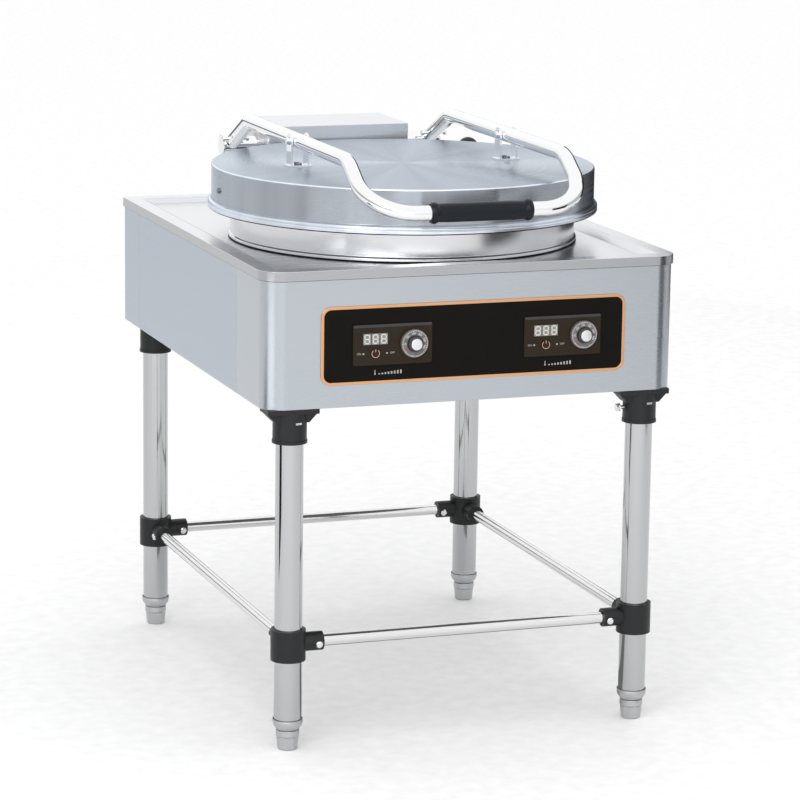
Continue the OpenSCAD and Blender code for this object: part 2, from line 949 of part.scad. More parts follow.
// A display window, or the pocket that it sits in, reaching forward from the pocket's floor
module display_block(x, depth, play) {
    translate([
        x - display_x - display_w / 2 - play,
        bezel_y + display_t - depth,
        fascia_z + display_z - display_h / 2 - play
    ])
        cube([display_w + 2 * play, depth, display_h + 2 * play]);
}

module display_windows() {
    color([0.25, 0.06, 0.05])
        for (x = [-left_x, right_x])
            display_block(x, display_t, 0);
}

module power_key(x) {
    color(BLACK)
        translate([x - display_x, bezel_y - key_proud, fascia_z - key_z])
            along_y(1)
                cylinder(h = key_proud + key_pocket - key_travel - slip, d = key_d);
}

module dial_knob(x) {
    color(DIAL)
        translate([x + knob_x, bezel_y - slip, fascia_z])
            along_y(-1)
                rotate_extrude()
                    polygon([
                        [0, -stem_l - slip],
                        [stem_d / 2, -stem_l - slip],
                        [stem_d / 2, 0],
                        [knob_d / 2, 0],
                        [knob_d / 2, knob_h / 2],
                        [knob_d / 2 - knob_h / 4, knob_h * 3 / 4],
                        [cap_d / 2, knob_h],
                        [cap_d / 2, knob_h + cap_h - over],
                        [cap_d / 2 - over, knob_h + cap_h],
                        [0, knob_h + cap_h]
                    ]);
}

// Services inside and behind the cabinet

module contactors() {
    color(GREY)
        for (s = [0, 1])
            translate([
                -gland_x + s * (contactor_w + slip),
                seam_rear_y - contactor_d / 2,
                body_z + sheet
            ]) {
                cube([contactor_w, contactor_d, contactor_base_h]);
                translate([0, contactor_step, 0])
                    cube([contactor_w, contactor_d - 2 * contactor_step, contactor_h]);
            }
}

module terminal_block() {
    color(WOOL)
        translate([gland_x - terminals_l, seam_rear_y - terminals_d / 2, body_z + sheet])
            difference() {
                cube([terminals_l, terminals_d, terminals_h]);
                for (k = [1:wells])
                    translate([k * terminals_l / (wells + 1), terminals_d / 2, terminals_h - terminal_well])
                        cylinder(h = terminal_well + over, d = well_d);
            }
}

module cable_gland() {
    color(BLACK)
        translate([gland_x, rear_y, body_z + gland_z])
            along_y(1)
                difference() {
                    union() {
                        translate([0, 0, -sheet - gland_nut_t])
                            cylinder(h = gland_nut_t, d = gland_nut_d, $fn = 6);
                        translate([0, 0, -sheet - gland_nut_t / 2])
                            cylinder(h = sheet + gland_nut_t, d = gland_d);
                        cylinder(h = gland_nut_t, d = gland_nut_d, $fn = 6);
                        cylinder(h = gland_nut_t + gland_dome_l, d = gland_dome_d);
                    }
                    translate([0, 0, -gland_dome_l])
                        cylinder(h = 3 * gland_dome_l, d = gland_bore);
                }
}

module lead_riser() {
    head_z = riser_h - riser_head_d / 2;
    color(BLACK)
        translate([body_w / 2 - riser_inset, services_y, recess_z]) {
            cylinder(h = riser_foot_t, d = riser_foot_d);
            cylinder(h = head_z, d = riser_d);
            translate([0, 0, head_z])
                sphere(d = riser_head_d);
        }
}

// Lower pan and its heat

module lower_pan() {
    color(IRON)
        translate([0, pan_y, pan_z])
            rotate_extrude()
                polygon([
                    [0, 0],
                    [pan_r, 0],
                    [pan_r, pan_floor + well_depth],
                    [pan_r - pan_wall, pan_floor + well_depth],
                    [pan_r - pan_wall, pan_floor],
                    [0, pan_floor]
                ]);
}

module pan_ring() {
    color(STEEL)
        translate([0, pan_y, recess_z])
            rotate_extrude() {
                translate([ring_r - ring_t, 0])
                    square([ring_t, ring_h]);
                translate([pan_r - pan_wall / 2, ring_h - ring_t])
                    square([ring_r - pan_r + pan_wall / 2, ring_t]);
                translate([ring_r, bead_clear + bead_r])
                    circle(bead_r);
            }
}

// Bent heating rod lying on the XY plane, with terminals on its two ends that point along +Z
module heating_rod(reach) {
    translate([0, 0, rod_d / 2]) {
        for (k = [0:rod_turns - 1])
            rotate([0, 0, rod_open])
                rotate_extrude(angle = 360 - 2 * rod_open)
                    translate([rod_r - k * rod_step, 0])
                        circle(d = rod_d);
        for (k = [0:rod_turns - 2]) {
            s = k % 2 == 0 ? -1 : 1;
            rotate([0, 0, s * rod_open])
                translate([rod_r - (k + 1 / 2) * rod_step, 0, 0])
                    rotate([0, 0, s < 0 ? 0 : 180]) {
                        rotate_extrude(angle = 180)
                            translate([rod_step / 2, 0])
                                circle(d = rod_d);
                        for (x = [-rod_step / 2, rod_step / 2])
                            translate([x, 0, 0])
                                along_y(1)
                                    weld_ring(rod_d / 2);
                    }
        }
        translate([0, 0, over - rod_d / 2])
            terminal_places()
                cylinder(h = reach - over, d = terminal_d);
    }
}

// The two ends of a heating rod, just above its underside
module terminal_places() {
    for (r = rod_ends)
        rotate([0, 0, rod_open])
            translate([r, 0, 0])
                children();
}

module lower_element() {
    color(IRON)
        translate([0, pan_y, pan_z])
            mirror([0, 0, 1])
                heating_rod(terminal_l);
}

module lower_insulation() {
    color(WOOL)
        translate([0, pan_y, pan_z - rod_d])
            mirror([0, 0, 1])
                difference() {
                    cylinder(h = insulation_h, r = pan_r);
                    translate([0, 0, -over])
                        terminal_places()
                            cylinder(h = insulation_h + 2 * over, d = terminal_d + 2 * slip);
                }
}

module heat_tray() {
    bottom = pan_z - rod_d - insulation_h - sheet;
    color(STEEL)
        translate([0, pan_y, bottom])
            difference() {
                union() {
                    tube(recess_z - top_sheet - bottom, tray_r + sheet, sheet);
                    cylinder(h = sheet, r = tray_r + sheet);
                    translate([0, 0, recess_z - top_sheet - bottom - sheet])
                        difference() {
                            cylinder(h = sheet, r = tray_r + rim_w / 2);
                            translate([0, 0, -over])
                                cylinder(h = sheet + 2 * over, r = tray_r + sheet / 2);
                        }
                }
                translate([0, 0, -over])
                    terminal_places()
                        cylinder(h = sheet + 2 * over, d = terminal_d + 2 * slip);
            }
}

// Lid

// Section of the lid's drum: outer edge radius, height and radius
module drum_section(r, h, edge) {
    square([r - edge, h]);
    square([r, h - edge]);
    translate([r - edge, h - edge])
        circle(edge);
}

module lid_cover() {
    color(STEEL)
        difference() {
            translate([0, pan_y, lid_z])
                rotate_extrude() {
                    difference() {
                        drum_section(lid_r, lid_h, lid_edge_r);
                        translate([0, -over])
                            drum_section(lid_r - lid_t, lid_h - lid_t + over, lid_edge_r - lid_t);
                    }
                    translate([lid_r - lid_t / 2, lid_flange_r])
                        square([lid_flange_out + lid_t / 2, lid_flange_h - 2 * lid_flange_r]);
                    translate([lid_r - lid_t / 2, 0])
                        square([lid_flange_out + lid_t / 2 - lid_flange_r, lid_flange_h]);
                    for (z = [lid_flange_r, lid_flange_h - lid_flange_r])
                        translate([lid_r + lid_flange_out - lid_flange_r, z])
                            circle(lid_flange_r);
                }
            lid_screw_places(0)
                translate([0, 0, -lid_screw_l])
                    cylinder(h = 2 * lid_screw_l, d = lid_screw_d + 2 * fit);
        }
}

module lid_closing_ring() {
    color(STEEL)
        translate([0, pan_y, closing_z])
            tube(closing_t, lid_r - lid_t, lid_r - lid_t - insulation_r - slip);
}

module upper_plate() {
    color(IRON)
        translate([0, pan_y, plate_z]) {
            cylinder(h = plate_t, r = plate_r);
            for (k = [0:bosses - 1])
                rotate([0, 0, (k + 1 / 2) * 360 / bosses])
                    translate([plate_r - boss_inset - boss_d / 2, 0, plate_t / 2])
                        cylinder(h = closing_z - plate_z - plate_t / 2, d = boss_d);
        }
}

module upper_element() {
    color(IRON)
        translate([0, pan_y, plate_z + plate_t])
            heating_rod(lid_top - lid_t - slip - plate_z - plate_t);
}

module upper_insulation() {
    color(WOOL)
        translate([0, pan_y, plate_z + plate_t + rod_d])
            difference() {
                cylinder(h = lid_insulation_h, r = insulation_r);
                translate([0, 0, -over])
                    terminal_places()
                        cylinder(h = lid_insulation_h + 2 * over, d = terminal_d + 2 * slip);
            }
}

// Screws of the saddles, raised by the saddles' base, and screws in the lid's band
module lid_screw_places(raise) {
    for (x = [-arm_x, arm_x])
        for (s = [-1, 1])
            translate([x, pan_y + s * lid_screw_y, lid_top + raise])
                children();
    for (s = [-1, 1])
        translate([s * lid_r, pan_y, lid_z + lid_h / 2])
            along_x(s)
                children();
}

module lid_screws() {
    color(CHROME)
        lid_screw_places(saddle_t)
            bolt(lid_screw_d, lid_screw_l, lid_screw_head_d, lid_screw_head_h);
}

module lid_saddles() {
    ear_in = arm_r + ear_play;
    color(CHROME)
        for (x = [-arm_x, arm_x])
            translate([x, pan_y, lid_top])
                difference() {
                    union() {
                        translate([-saddle_w / 2, -ear_w / 2, 0])
                            cube([saddle_w, ear_w, saddle_t]);
                        for (s = [-1, 1])
                            translate([s * (ear_in + ear_t / 2), 0, 0])
                                rotate([90, 0, 90])
                                    linear_extrude(ear_t, center = true) {
                                        translate([-ear_w / 2, 0])
                                            square([ear_w, arm_clear]);
                                        translate([0, arm_clear])
                                            circle(d = ear_w);
                                    }
                    }
                    translate([-saddle_w, 0, arm_clear])
                        along_x(1)
                            cylinder(h = 2 * saddle_w, d = pivot_d + 2 * fit);
                    for (s = [-1, 1])
                        translate([0, s * lid_screw_y, -over])
                            cylinder(h = saddle_t + 2 * over, d = lid_screw_d + 2 * fit);
                }
}

module pivot_bolts() {
    half = arm_r + ear_play + ear_t + slip;
    color(CHROME)
        for (x = [-arm_x, arm_x])
            translate([x, pan_y, arm_z])
                for (s = [-1, 1])
                    along_x(s)
                        translate([0, 0, half])
                            bolt(pivot_d, half, pivot_head_d, pivot_head_h);
}

// Lid frame

// Run of the bent tube at a radius: arms, sloping legs, bends and handle
module arm_run(r) {
    for (x = [-arm_x, arm_x])
        translate([x, 0, 0]) {
            translate([0, front_bend_y + front_tangent, arm_z])
                along_y(1)
                    cylinder(h = bend_y - rear_tangent - front_bend_y - front_tangent, r = r);
            translate([0, bend_y, arm_z])
                rotate([-rear_angle, 0, 0])
                    translate([0, rear_tangent, 0])
                        along_y(1)
                            cylinder(h = rear_leg_l - rear_tangent, r = r);
            side_bend(bend_y - rear_tangent, rear_bend_r, 90 - rear_angle, rear_angle, r);
            side_bend(front_bend_y + front_tangent, front_bend_r, 90, front_angle, r);
            for (y = [bend_y - rear_tangent, front_bend_y + front_tangent])
                translate([0, y, arm_z])
                    along_y(1)
                        weld_ring(r);
            translate([0, bend_y, arm_z])
                rotate([-rear_angle, 0, 0])
                    translate([0, rear_tangent, 0])
                        along_y(1)
                            weld_ring(r);
        }
    translate([0, handle_y, handle_z])
        rotate([front_angle, 0, 0]) {
            translate([-arm_x + handle_bend_r, 0, 0])
                along_x(1)
                    cylinder(h = 2 * (arm_x - handle_bend_r), r = r);
            for (s = [0, 1])
                mirror([s, 0, 0]) {
                    translate([arm_x - handle_bend_r, handle_bend_r, 0])
                        rotate([0, 0, 270])
                            rotate_extrude(angle = 90)
                                translate([handle_bend_r, 0])
                                    circle(r);
                    translate([arm_x, handle_bend_r, 0])
                        along_y(1)
                            cylinder(h = front_leg_l - front_tangent - handle_bend_r, r = r);
                    translate([arm_x, front_leg_l - front_tangent, 0])
                        along_y(1)
                            weld_ring(r);
                }
        }
}

// Bend in an arm's upright plane, centred below the arm; angles run from +Y towards +Z
module side_bend(y, bend_r, start, sweep, r) {
    translate([0, y, arm_z - bend_r])
        rotate([90, 0, 90])
            rotate([0, 0, start])
                rotate_extrude(angle = sweep)
                    translate([bend_r, 0])
                        circle(r);
}

// Middle of a cross bolt on an arm's rear leg
module cross_bolt_places() {
    for (x = [-arm_x, arm_x])
        translate([x, hinge_y, hinge_z])
            rotate([-rear_angle, 0, 0])
                translate([0, -cross_bolt_out, 0])
                    children();
}

module arm_tube() {
    color(CHROME)
        difference() {
            arm_run(arm_r);
            arm_run(arm_r - arm_wall);
            translate([-body_w / 2, hinge_y, hinge_z])
                along_x(1)
                    cylinder(h = body_w, r = shaft_r);
            for (x = [-arm_x, arm_x])
                translate([x - arm_d, pan_y, arm_z])
                    along_x(1)
                        cylinder(h = 2 * arm_d, d = pivot_d + 2 * fit);
            cross_bolt_places()
                translate([-arm_d, 0, 0])
                    along_x(1)
                        cylinder(h = 2 * arm_d, d = cross_bolt_d + 2 * fit);
        }
}

module cross_bolts() {
    color(CHROME)
        cross_bolt_places()
            for (s = [-1, 1])
                along_x(s)
                    translate([0, 0, cross_bolt_half])
                        bolt(cross_bolt_d, cross_bolt_half, cross_bolt_head_d, cross_bolt_head_h);
}

module grip() {
    color(BLACK)
        translate([0, handle_y, handle_z])
            along_x(1)
                translate([0, 0, -grip_l / 2])
                    difference() {
                        union() {
                            cylinder(h = grip_l, d = grip_d);
                            for (z = [0, grip_l - grip_ring_w])
                                translate([0, 0, z])
                                    cylinder(h = grip_ring_w, d = grip_ring_d);
                        }
                        translate([0, 0, -over])
                            cylinder(h = grip_l + 2 * over, r = arm_r + fit);
                    }
}

module hinge_shaft() {
    half = arm_x + arm_r + shaft_out;
    color(CHROME)
        translate([-half, hinge_y, hinge_z])
            along_x(1)
                tube(2 * half, shaft_r, shaft_wall);
}

module shaft_discs() {
    color(CHROME)
        for (s = [-1, 1])
            translate([s * (arm_x + arm_r + shaft_out), hinge_y, hinge_z])
                along_x(s)
                    cylinder(h = disc_t, d = disc_d);
}

// Hinge box on the worktop

module hinge_box() {
    color(STEEL)
        difference() {
            translate([-box_w / 2, box_y, recess_z])
                cube([box_w, box_rear_y - box_y, hinge_z + box_up - recess_z]);
            translate([-box_w / 2 + sheet, box_y + sheet, recess_z - over])
                cube([
                    box_w - 2 * sheet,
                    box_rear_y - box_y - 2 * sheet,
                    hinge_z + box_up - recess_z - sheet + over
                ]);
            translate([-box_w / 2 - over, body_d / 2 - rim_w, recess_z - over])
                cube([box_w + 2 * over, rim_w + over, recess + over]);
            translate([-box_w, hinge_y, hinge_z])
                along_x(1)
                    cylinder(h = 2 * box_w, r = bush_r + fit);
        }
}

module hinge_bushes() {
    color(GREY)
        for (s = [-1, 1])
            translate([s * (box_w / 2 - bush_in), hinge_y, hinge_z])
                along_x(s)
                    difference() {
                        union() {
                            cylinder(h = bush_in + bush_out, r = bush_r);
                            cylinder(h = bush_lip, r = spring_r);
                            translate([0, 0, bush_in])
                                cylinder(h = bush_out, r = bush_r + bush_lip);
                        }
                        translate([0, 0, -over])
                            cylinder(h = bush_in + bush_out + 2 * over, r = shaft_r + fit);
                    }
}

// Points round the wire at one step of a balance spring wound about Z
function wire_ring(k) = [
    for (j = [0:wire_sides - 1])
        let (turn = k * 360 / turn_steps, side = j * 360 / wire_sides)
        let (reach = spring_r + wire_d / 2 * cos(side))
        [reach * cos(turn), reach * sin(turn), wire_d / 2 * sin(side) + k * pitch / turn_steps]
];

module coil() {
    rings = turn_steps * turns;
    points = [for (k = [0:rings]) each wire_ring(k)];
    faces = [
        [for (j = [0:wire_sides - 1]) j],
        for (k = [0:rings - 1])
            for (j = [0:wire_sides - 1])
                let (a = wire_sides * k + j, b = wire_sides * k + (j + 1) % wire_sides)
                each [[a, a + wire_sides, b], [b, a + wire_sides, b + wire_sides]],
        [for (j = [wire_sides - 1:-1:0]) wire_sides * rings + j]
    ];
    polyhedron(points, faces);
}

module balance_springs() {
    color(GREY)
        for (s = [0, 1])
            mirror([s, 0, 0])
                translate([box_w / 2 - bush_in - slip - wire_reach, hinge_y, hinge_z])
                    along_x(-1)
                        coil();
}

leg(0);  // leg_front_left
leg(1);  // leg_front_right
leg(2);  // leg_rear_left
leg(3);  // leg_rear_right
leg_sockets();
leg_screws();
brace_clamp(0);  // brace_clamp_front_left
brace_clamp(1);  // brace_clamp_front_right
brace_clamp(2);  // brace_clamp_rear_left
brace_clamp(3);  // brace_clamp_rear_right
brace_across(0);  // brace_front
brace_across(2);  // brace_rear
brace_along(0);  // brace_left
brace_along(1);  // brace_right
clamp_bolts();
foot_inserts();
foot(0);  // foot_front_left
foot(1);  // foot_front_right
foot(2);  // foot_rear_left
foot(3);  // foot_rear_right
worktop();
front_panel();
side_panel(-1);  // side_panel_left
side_panel(1);  // side_panel_right
rear_panel();
base_plate();
fascia();
fascia_trim();
controller(-left_x);  // controller_left
controller(right_x);  // controller_right
display_windows();
power_key(-left_x);  // power_key_left
power_key(right_x);  // power_key_right
dial_knob(-left_x);  // dial_knob_left
dial_knob(right_x);  // dial_knob_right
contactors();
terminal_block();
cable_gland();
lead_riser();
lower_pan();
pan_ring();
lower_element();
lower_insulation();
heat_tray();
lid_cover();
lid_closing_ring();
upper_plate();
upper_element();
upper_insulation();
lid_saddles();
lid_screws();
pivot_bolts();
arm_tube();
grip();
hinge_shaft();
shaft_discs();
cross_bolts();
hinge_box();
hinge_bushes();
balance_springs();
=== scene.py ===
"""Looks of a floor-standing electric griddle with a hinged round lid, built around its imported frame."""
import json
import math

import bmesh
import bpy
from mathutils import Matrix, Vector

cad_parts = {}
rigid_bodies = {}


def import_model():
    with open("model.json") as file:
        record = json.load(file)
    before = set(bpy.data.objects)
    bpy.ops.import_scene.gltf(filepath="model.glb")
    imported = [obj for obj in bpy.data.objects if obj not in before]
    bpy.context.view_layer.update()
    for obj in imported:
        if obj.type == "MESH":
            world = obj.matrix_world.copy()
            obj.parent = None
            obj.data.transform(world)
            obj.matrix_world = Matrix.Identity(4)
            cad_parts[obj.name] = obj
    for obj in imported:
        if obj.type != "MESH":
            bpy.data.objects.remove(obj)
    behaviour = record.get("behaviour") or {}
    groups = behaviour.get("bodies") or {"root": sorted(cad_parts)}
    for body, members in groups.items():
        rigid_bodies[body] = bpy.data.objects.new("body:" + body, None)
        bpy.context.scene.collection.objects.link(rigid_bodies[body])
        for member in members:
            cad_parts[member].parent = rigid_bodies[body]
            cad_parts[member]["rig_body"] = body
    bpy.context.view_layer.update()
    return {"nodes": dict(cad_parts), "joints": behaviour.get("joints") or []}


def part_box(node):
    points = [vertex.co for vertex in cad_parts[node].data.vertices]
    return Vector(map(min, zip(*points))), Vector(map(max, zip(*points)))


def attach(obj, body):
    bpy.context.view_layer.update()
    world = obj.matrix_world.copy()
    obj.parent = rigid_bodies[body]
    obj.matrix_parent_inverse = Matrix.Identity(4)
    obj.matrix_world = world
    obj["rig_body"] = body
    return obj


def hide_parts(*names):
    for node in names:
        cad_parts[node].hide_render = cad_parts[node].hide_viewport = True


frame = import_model()
NODES = frame["nodes"]
HINGE = {joint["name"]: joint for joint in frame["joints"]}

# The image is square, and the camera stands in front of the object to its left.
IMAGE_SIDE = 800
FOCAL_PIXELS = 3410
SENSOR_MM = 36
CAMERA_PLACE = Vector((-1.911, -5.459, 1.665))
CAMERA_AZIMUTH = 0.341
CAMERA_PITCH = 0.202
CAMERA_ROLL = -0.014

# Sizes that the frame's boxes don't give, in metres.
SHEET = 0.0015
TUBE_WALL = 0.0015
REAR_BEND = 0.028
FRONT_BEND = 0.064
HANDLE_BEND = 0.080
REAR_RUN = 0.116
FRONT_RUN = 0.111
RECESS_SLOPE = 0.016
HEM = 0.0020
LID_STEP = 0.006
FLANGE_TALL = 0.014
LID_ROUND = 0.0024
BEAD = 0.0039
LETTER = 0.0046
PRINT = 0.00003
ROUND = 96
FINE_ROUND = 192

# Levels and painted light: a painted light value darkens or lightens a face of steel, as painted shade, painted
# shadow or painted highlight.
SKY_LEVEL = 1.18
PAINTED_LIGHT = "painted_light"
# The worktop's skirt takes painted shade and its hem painted shadow.
HEM_PAINTED_SHADOW, SKIRT_PAINTED_SHADE = 0.16, 0.62
# The lid's lower edge takes painted shadow, its flange painted light and its rolled rim a painted highlight.
LID_EDGE_PAINTED_SHADOW, FLANGE_PAINTED_LIGHT, RIM_PAINTED_HIGHLIGHT = 0.03, 1.75, 2.0

# Patterns, in cycles to the metre, and the span in which a noise mask mostly lies.
BRUSH_LINES = 900
BRUSH_ALONG = 6
PRINT_GRAIN = 3000.0
MASK_SPAN = (0.3, 0.7)
NODE_COLUMN = 220


# Node trees

def feed(tree, node, **values):
    """Links sockets to a node's inputs, or sets the inputs' values, by name."""
    for key, value in values.items():
        socket = node.inputs[key.replace("_", " ")]
        if isinstance(value, bpy.types.NodeSocket):
            tree.links.new(value, socket)
        else:
            socket.default_value = value


def add(tree, kind, **settings):
    """A new node, with its properties and its inputs set by name."""
    node = tree.nodes.new(kind)
    node.location = (NODE_COLUMN * len(tree.nodes), 0)
    for key, value in settings.items():
        if hasattr(node, key):
            setattr(node, key, value)
        else:
            feed(tree, node, **{key: value})
    return node


def calculate(tree, kind, operation, *values):
    """A maths node's result."""
    node = add(tree, kind, operation=operation)
    for socket, value in zip(node.inputs, values):
        if isinstance(value, bpy.types.NodeSocket):
            tree.links.new(value, socket)
        else:
            socket.default_value = value
    return next(out for out in node.outputs if out.enabled)


def noise(tree, vector, scale, detail, roughness):
    node = add(tree, "ShaderNodeTexNoise", Vector=vector, Scale=scale, Detail=detail, Roughness=roughness)
    return node.outputs["Fac"]


def ramp(tree, value, low, high, start, end):
    """A value that runs from start to end while another runs from low to high."""
    node = add(
        tree, "ShaderNodeMapRange", Value=value, From_Min=low, From_Max=high, To_Min=start, To_Max=end,
    )
    return node.outputs["Result"]


def group(name, inputs, outputs):
    """A shader node group with its sockets, and its input and output nodes."""
    tree = bpy.data.node_groups.new(name, "ShaderNodeTree")
    for label, kind, value in inputs:
        socket = tree.interface.new_socket(name=label, in_out="INPUT", socket_type=kind)
        if value is not None:
            socket.default_value = value
    for label, kind in outputs:
        tree.interface.new_socket(name=label, in_out="OUTPUT", socket_type=kind)
    return tree, add(tree, "NodeGroupInput"), add(tree, "NodeGroupOutput")


def make_sheet_grain():
    """Brush lines of rolled sheet: the vector's X runs along the lines."""
    tree, source, sink = group(
        "sheet grain",
        [("Vector", "NodeSocketVector", None)],
        [("Lines", "NodeSocketFloat"), ("Cloud", "NodeSocketFloat")],
    )
    vector = source.outputs["Vector"]
    stretch = add(tree, "ShaderNodeMapping", Vector=vector, Scale=(BRUSH_ALONG, BRUSH_LINES, BRUSH_LINES))
    feed(
        tree, sink, Lines=noise(tree, stretch.outputs["Vector"], 1.0, 3.0, 0.6),
        Cloud=noise(tree, vector, 2.6, 2.0, 0.5),
    )
    return tree


def make_turned_grain_and_streaks():
    """Lines that run round the Z axis, without a seam, and a fan of painted highlight streaks that runs out
    from it.
    """
    tree, source, sink = group(
        "turned grain and painted streaks",
        [("Vector", "NodeSocketVector", None)],
        [("Lines", "NodeSocketFloat"), ("Cloud", "NodeSocketFloat"), ("Fan", "NodeSocketFloat")],
    )
    vector = source.outputs["Vector"]
    height = add(tree, "ShaderNodeSeparateXYZ", Vector=vector).outputs["Z"]
    flat = calculate(tree, "ShaderNodeVectorMath", "MULTIPLY", vector, (1, 1, 0))
    way = calculate(tree, "ShaderNodeVectorMath", "NORMALIZE", flat)
    reach = calculate(tree, "ShaderNodeVectorMath", "LENGTH", flat)
    both = calculate(tree, "ShaderNodeMath", "ADD", reach, height)
    fine = calculate(tree, "ShaderNodeMath", "MULTIPLY", both, BRUSH_LINES)
    split = add(tree, "ShaderNodeSeparateXYZ", Vector=way)
    join = add(tree, "ShaderNodeCombineXYZ", X=split.outputs["X"], Y=split.outputs["Y"], Z=fine)
    feed(
        tree, sink, Lines=noise(tree, join.outputs["Vector"], 1.0, 3.0, 0.6),
        Cloud=noise(tree, vector, 3.4, 2.0, 0.5), Fan=noise(tree, way, 3.2, 4.0, 0.62),
    )
    return tree


def make_mould_skin():
    """Fine spark-eroded skin of a moulding, with faint flow clouds."""
    tree, source, sink = group(
        "mould skin",
        [("Vector", "NodeSocketVector", None), ("Grain", "NodeSocketFloat", 1400.0)],
        [("Height", "NodeSocketFloat"), ("Cloud", "NodeSocketFloat")],
    )
    vector = source.outputs["Vector"]
    feed(
        tree, sink, Height=noise(tree, vector, source.outputs["Grain"], 2.0, 0.6),
        Cloud=noise(tree, vector, 35.0, 3.0, 0.55),
    )
    return tree


SHEET_GRAIN = make_sheet_grain()
TURNED_GRAIN_AND_STREAKS = make_turned_grain_and_streaks()
MOULD_SKIN = make_mould_skin()


# Finishes

def new_material(name):
    """A material with its tree, its shader and the Object coordinates."""
    material = bpy.data.materials.new(name)
    material.use_nodes = True
    tree = material.node_tree
    spot = add(tree, "ShaderNodeTexCoord").outputs["Object"]
    return material, tree, tree.nodes["Principled BSDF"], spot


def shade(tree, mask, low, high):
    """A colour between two, by a mask."""
    mix = add(tree, "ShaderNodeMix", data_type="RGBA", Factor=mask, A=(*low, 1), B=(*high, 1))
    return mix.outputs["Result"]


def multiply(tree, colour, value):
    """A colour made lighter or darker by a value."""
    mix = add(tree, "ShaderNodeMix", data_type="RGBA", blend_type="MULTIPLY", Factor=1, A=colour, B=value)
    return mix.outputs["Result"]


def bump(tree, shader, height, strength, depth):
    relief = add(tree, "ShaderNodeBump", Strength=strength, Distance=depth, Height=height)
    feed(tree, shader, Normal=relief.outputs["Normal"])


def steel(
    name, colour, roughness, turn=(0, 0, 0), centre=None, relief=0.00004, contrast=0.05, streak_highlight=0.0,
    takes_painted_light=False, edge=(1, 1, 1), brushed=0.0,
):
    """Stainless steel: brushed along a line, or turned round an upright axis through a centre.

    A fan of painted highlight streaks runs out from the axis in the colour. A steel that takes painted light
    takes each face's painted shade, painted shadow or painted highlight from an attribute.
    Brushed steel spreads its highlights across the turned lines, and edge is its tint at a glancing view.
    """
    material, tree, shader, spot = new_material(name)
    place = add(tree, "ShaderNodeMapping", Vector=spot)
    if centre is None:
        feed(tree, place, Rotation=turn)
    else:
        feed(tree, place, Location=(-centre[0], -centre[1], 0))
    pattern = SHEET_GRAIN if centre is None else TURNED_GRAIN_AND_STREAKS
    grain = add(tree, "ShaderNodeGroup", node_tree=pattern, Vector=place.outputs["Vector"])
    lines, cloud = grain.outputs["Lines"], grain.outputs["Cloud"]
    dark = [c * (1 - contrast) for c in colour]
    light = [min(1, c * (1 + contrast)) for c in colour]
    tint = shade(tree, cloud, dark, light)
    # Painted highlight streaks, a fan that runs out from the axis, lighten and darken the colour.
    if streak_highlight:
        tint = multiply(tree, tint, ramp(tree, grain.outputs["Fan"], *MASK_SPAN, 1 - streak_highlight, 1 + streak_highlight))
    # Each face's attribute multiplies the colour by its painted shade, painted shadow or painted highlight.
    if takes_painted_light:
        painted_light = add(tree, "ShaderNodeAttribute", attribute_name=PAINTED_LIGHT)
        tint = multiply(tree, tint, painted_light.outputs["Fac"])
    mottle = add(tree, "ShaderNodeMix", data_type="FLOAT", Factor=0.45, A=lines, B=cloud).outputs["Result"]
    feed(
        tree, shader, Base_Color=tint, Metallic=1, Specular_Tint=(*edge, 1),
        Roughness=ramp(tree, mottle, *MASK_SPAN, roughness * 0.85, roughness * 1.2),
    )
    bump(tree, shader, lines, 0.35, relief)
    if brushed:
        round_axis = add(tree, "ShaderNodeTangent", direction_type="RADIAL", axis="Z")
        feed(
            tree, shader, Tangent=round_axis.outputs["Tangent"], Anisotropic=brushed, Anisotropic_Rotation=0.25,
        )
    return material


def skinned(name, grain):
    """A material with the skin of a moulding."""
    material, tree, shader, spot = new_material(name)
    skin = add(tree, "ShaderNodeGroup", node_tree=MOULD_SKIN, Vector=spot, Grain=grain)
    return material, tree, shader, skin.outputs["Height"], skin.outputs["Cloud"]


def moulded(name, colour, roughness, grain=1400.0, depth=0.00006, light=1.35, shine=0.5):
    """Moulded plastic or rubber with a fine skin."""
    material, tree, shader, height, cloud = skinned(name, grain)
    feed(
        tree, shader, Specular_IOR_Level=shine,
        Base_Color=shade(tree, cloud, [c * 0.85 for c in colour], [c * light for c in colour]),
        Roughness=ramp(tree, cloud, *MASK_SPAN, roughness * 0.9, roughness * 1.15),
    )
    bump(tree, shader, height, 0.4, depth)
    return material


def printed(name, colour, glow=0.0):
    """Screen-printed ink, a little uneven, that may glow."""
    material, tree, shader, height, _ = skinned(name, PRINT_GRAIN)
    feed(
        tree, shader, Base_Color=shade(tree, height, [c * 0.9 for c in colour], colour), Roughness=0.5,
        Emission_Color=(*colour, 1), Emission_Strength=glow,
    )
    return material


QUARTER = math.pi / 2
PAN_CENTRE = (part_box("pan_ring")[0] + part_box("pan_ring")[1]) / 2
FRONT_STEEL = steel("front steel", (0.446, 0.479, 0.513), 0.28)
SIDE_STEEL = steel("side steel", (0.424, 0.465, 0.527), 0.32, turn=(0, 0, QUARTER))
TOP_STEEL = steel("worktop steel", (0.655, 0.675, 0.70), 0.24, relief=0.00002, contrast=0.05, takes_painted_light=True)
BOX_STEEL = steel("hinge box steel", (0.68, 0.70, 0.73), 0.30)
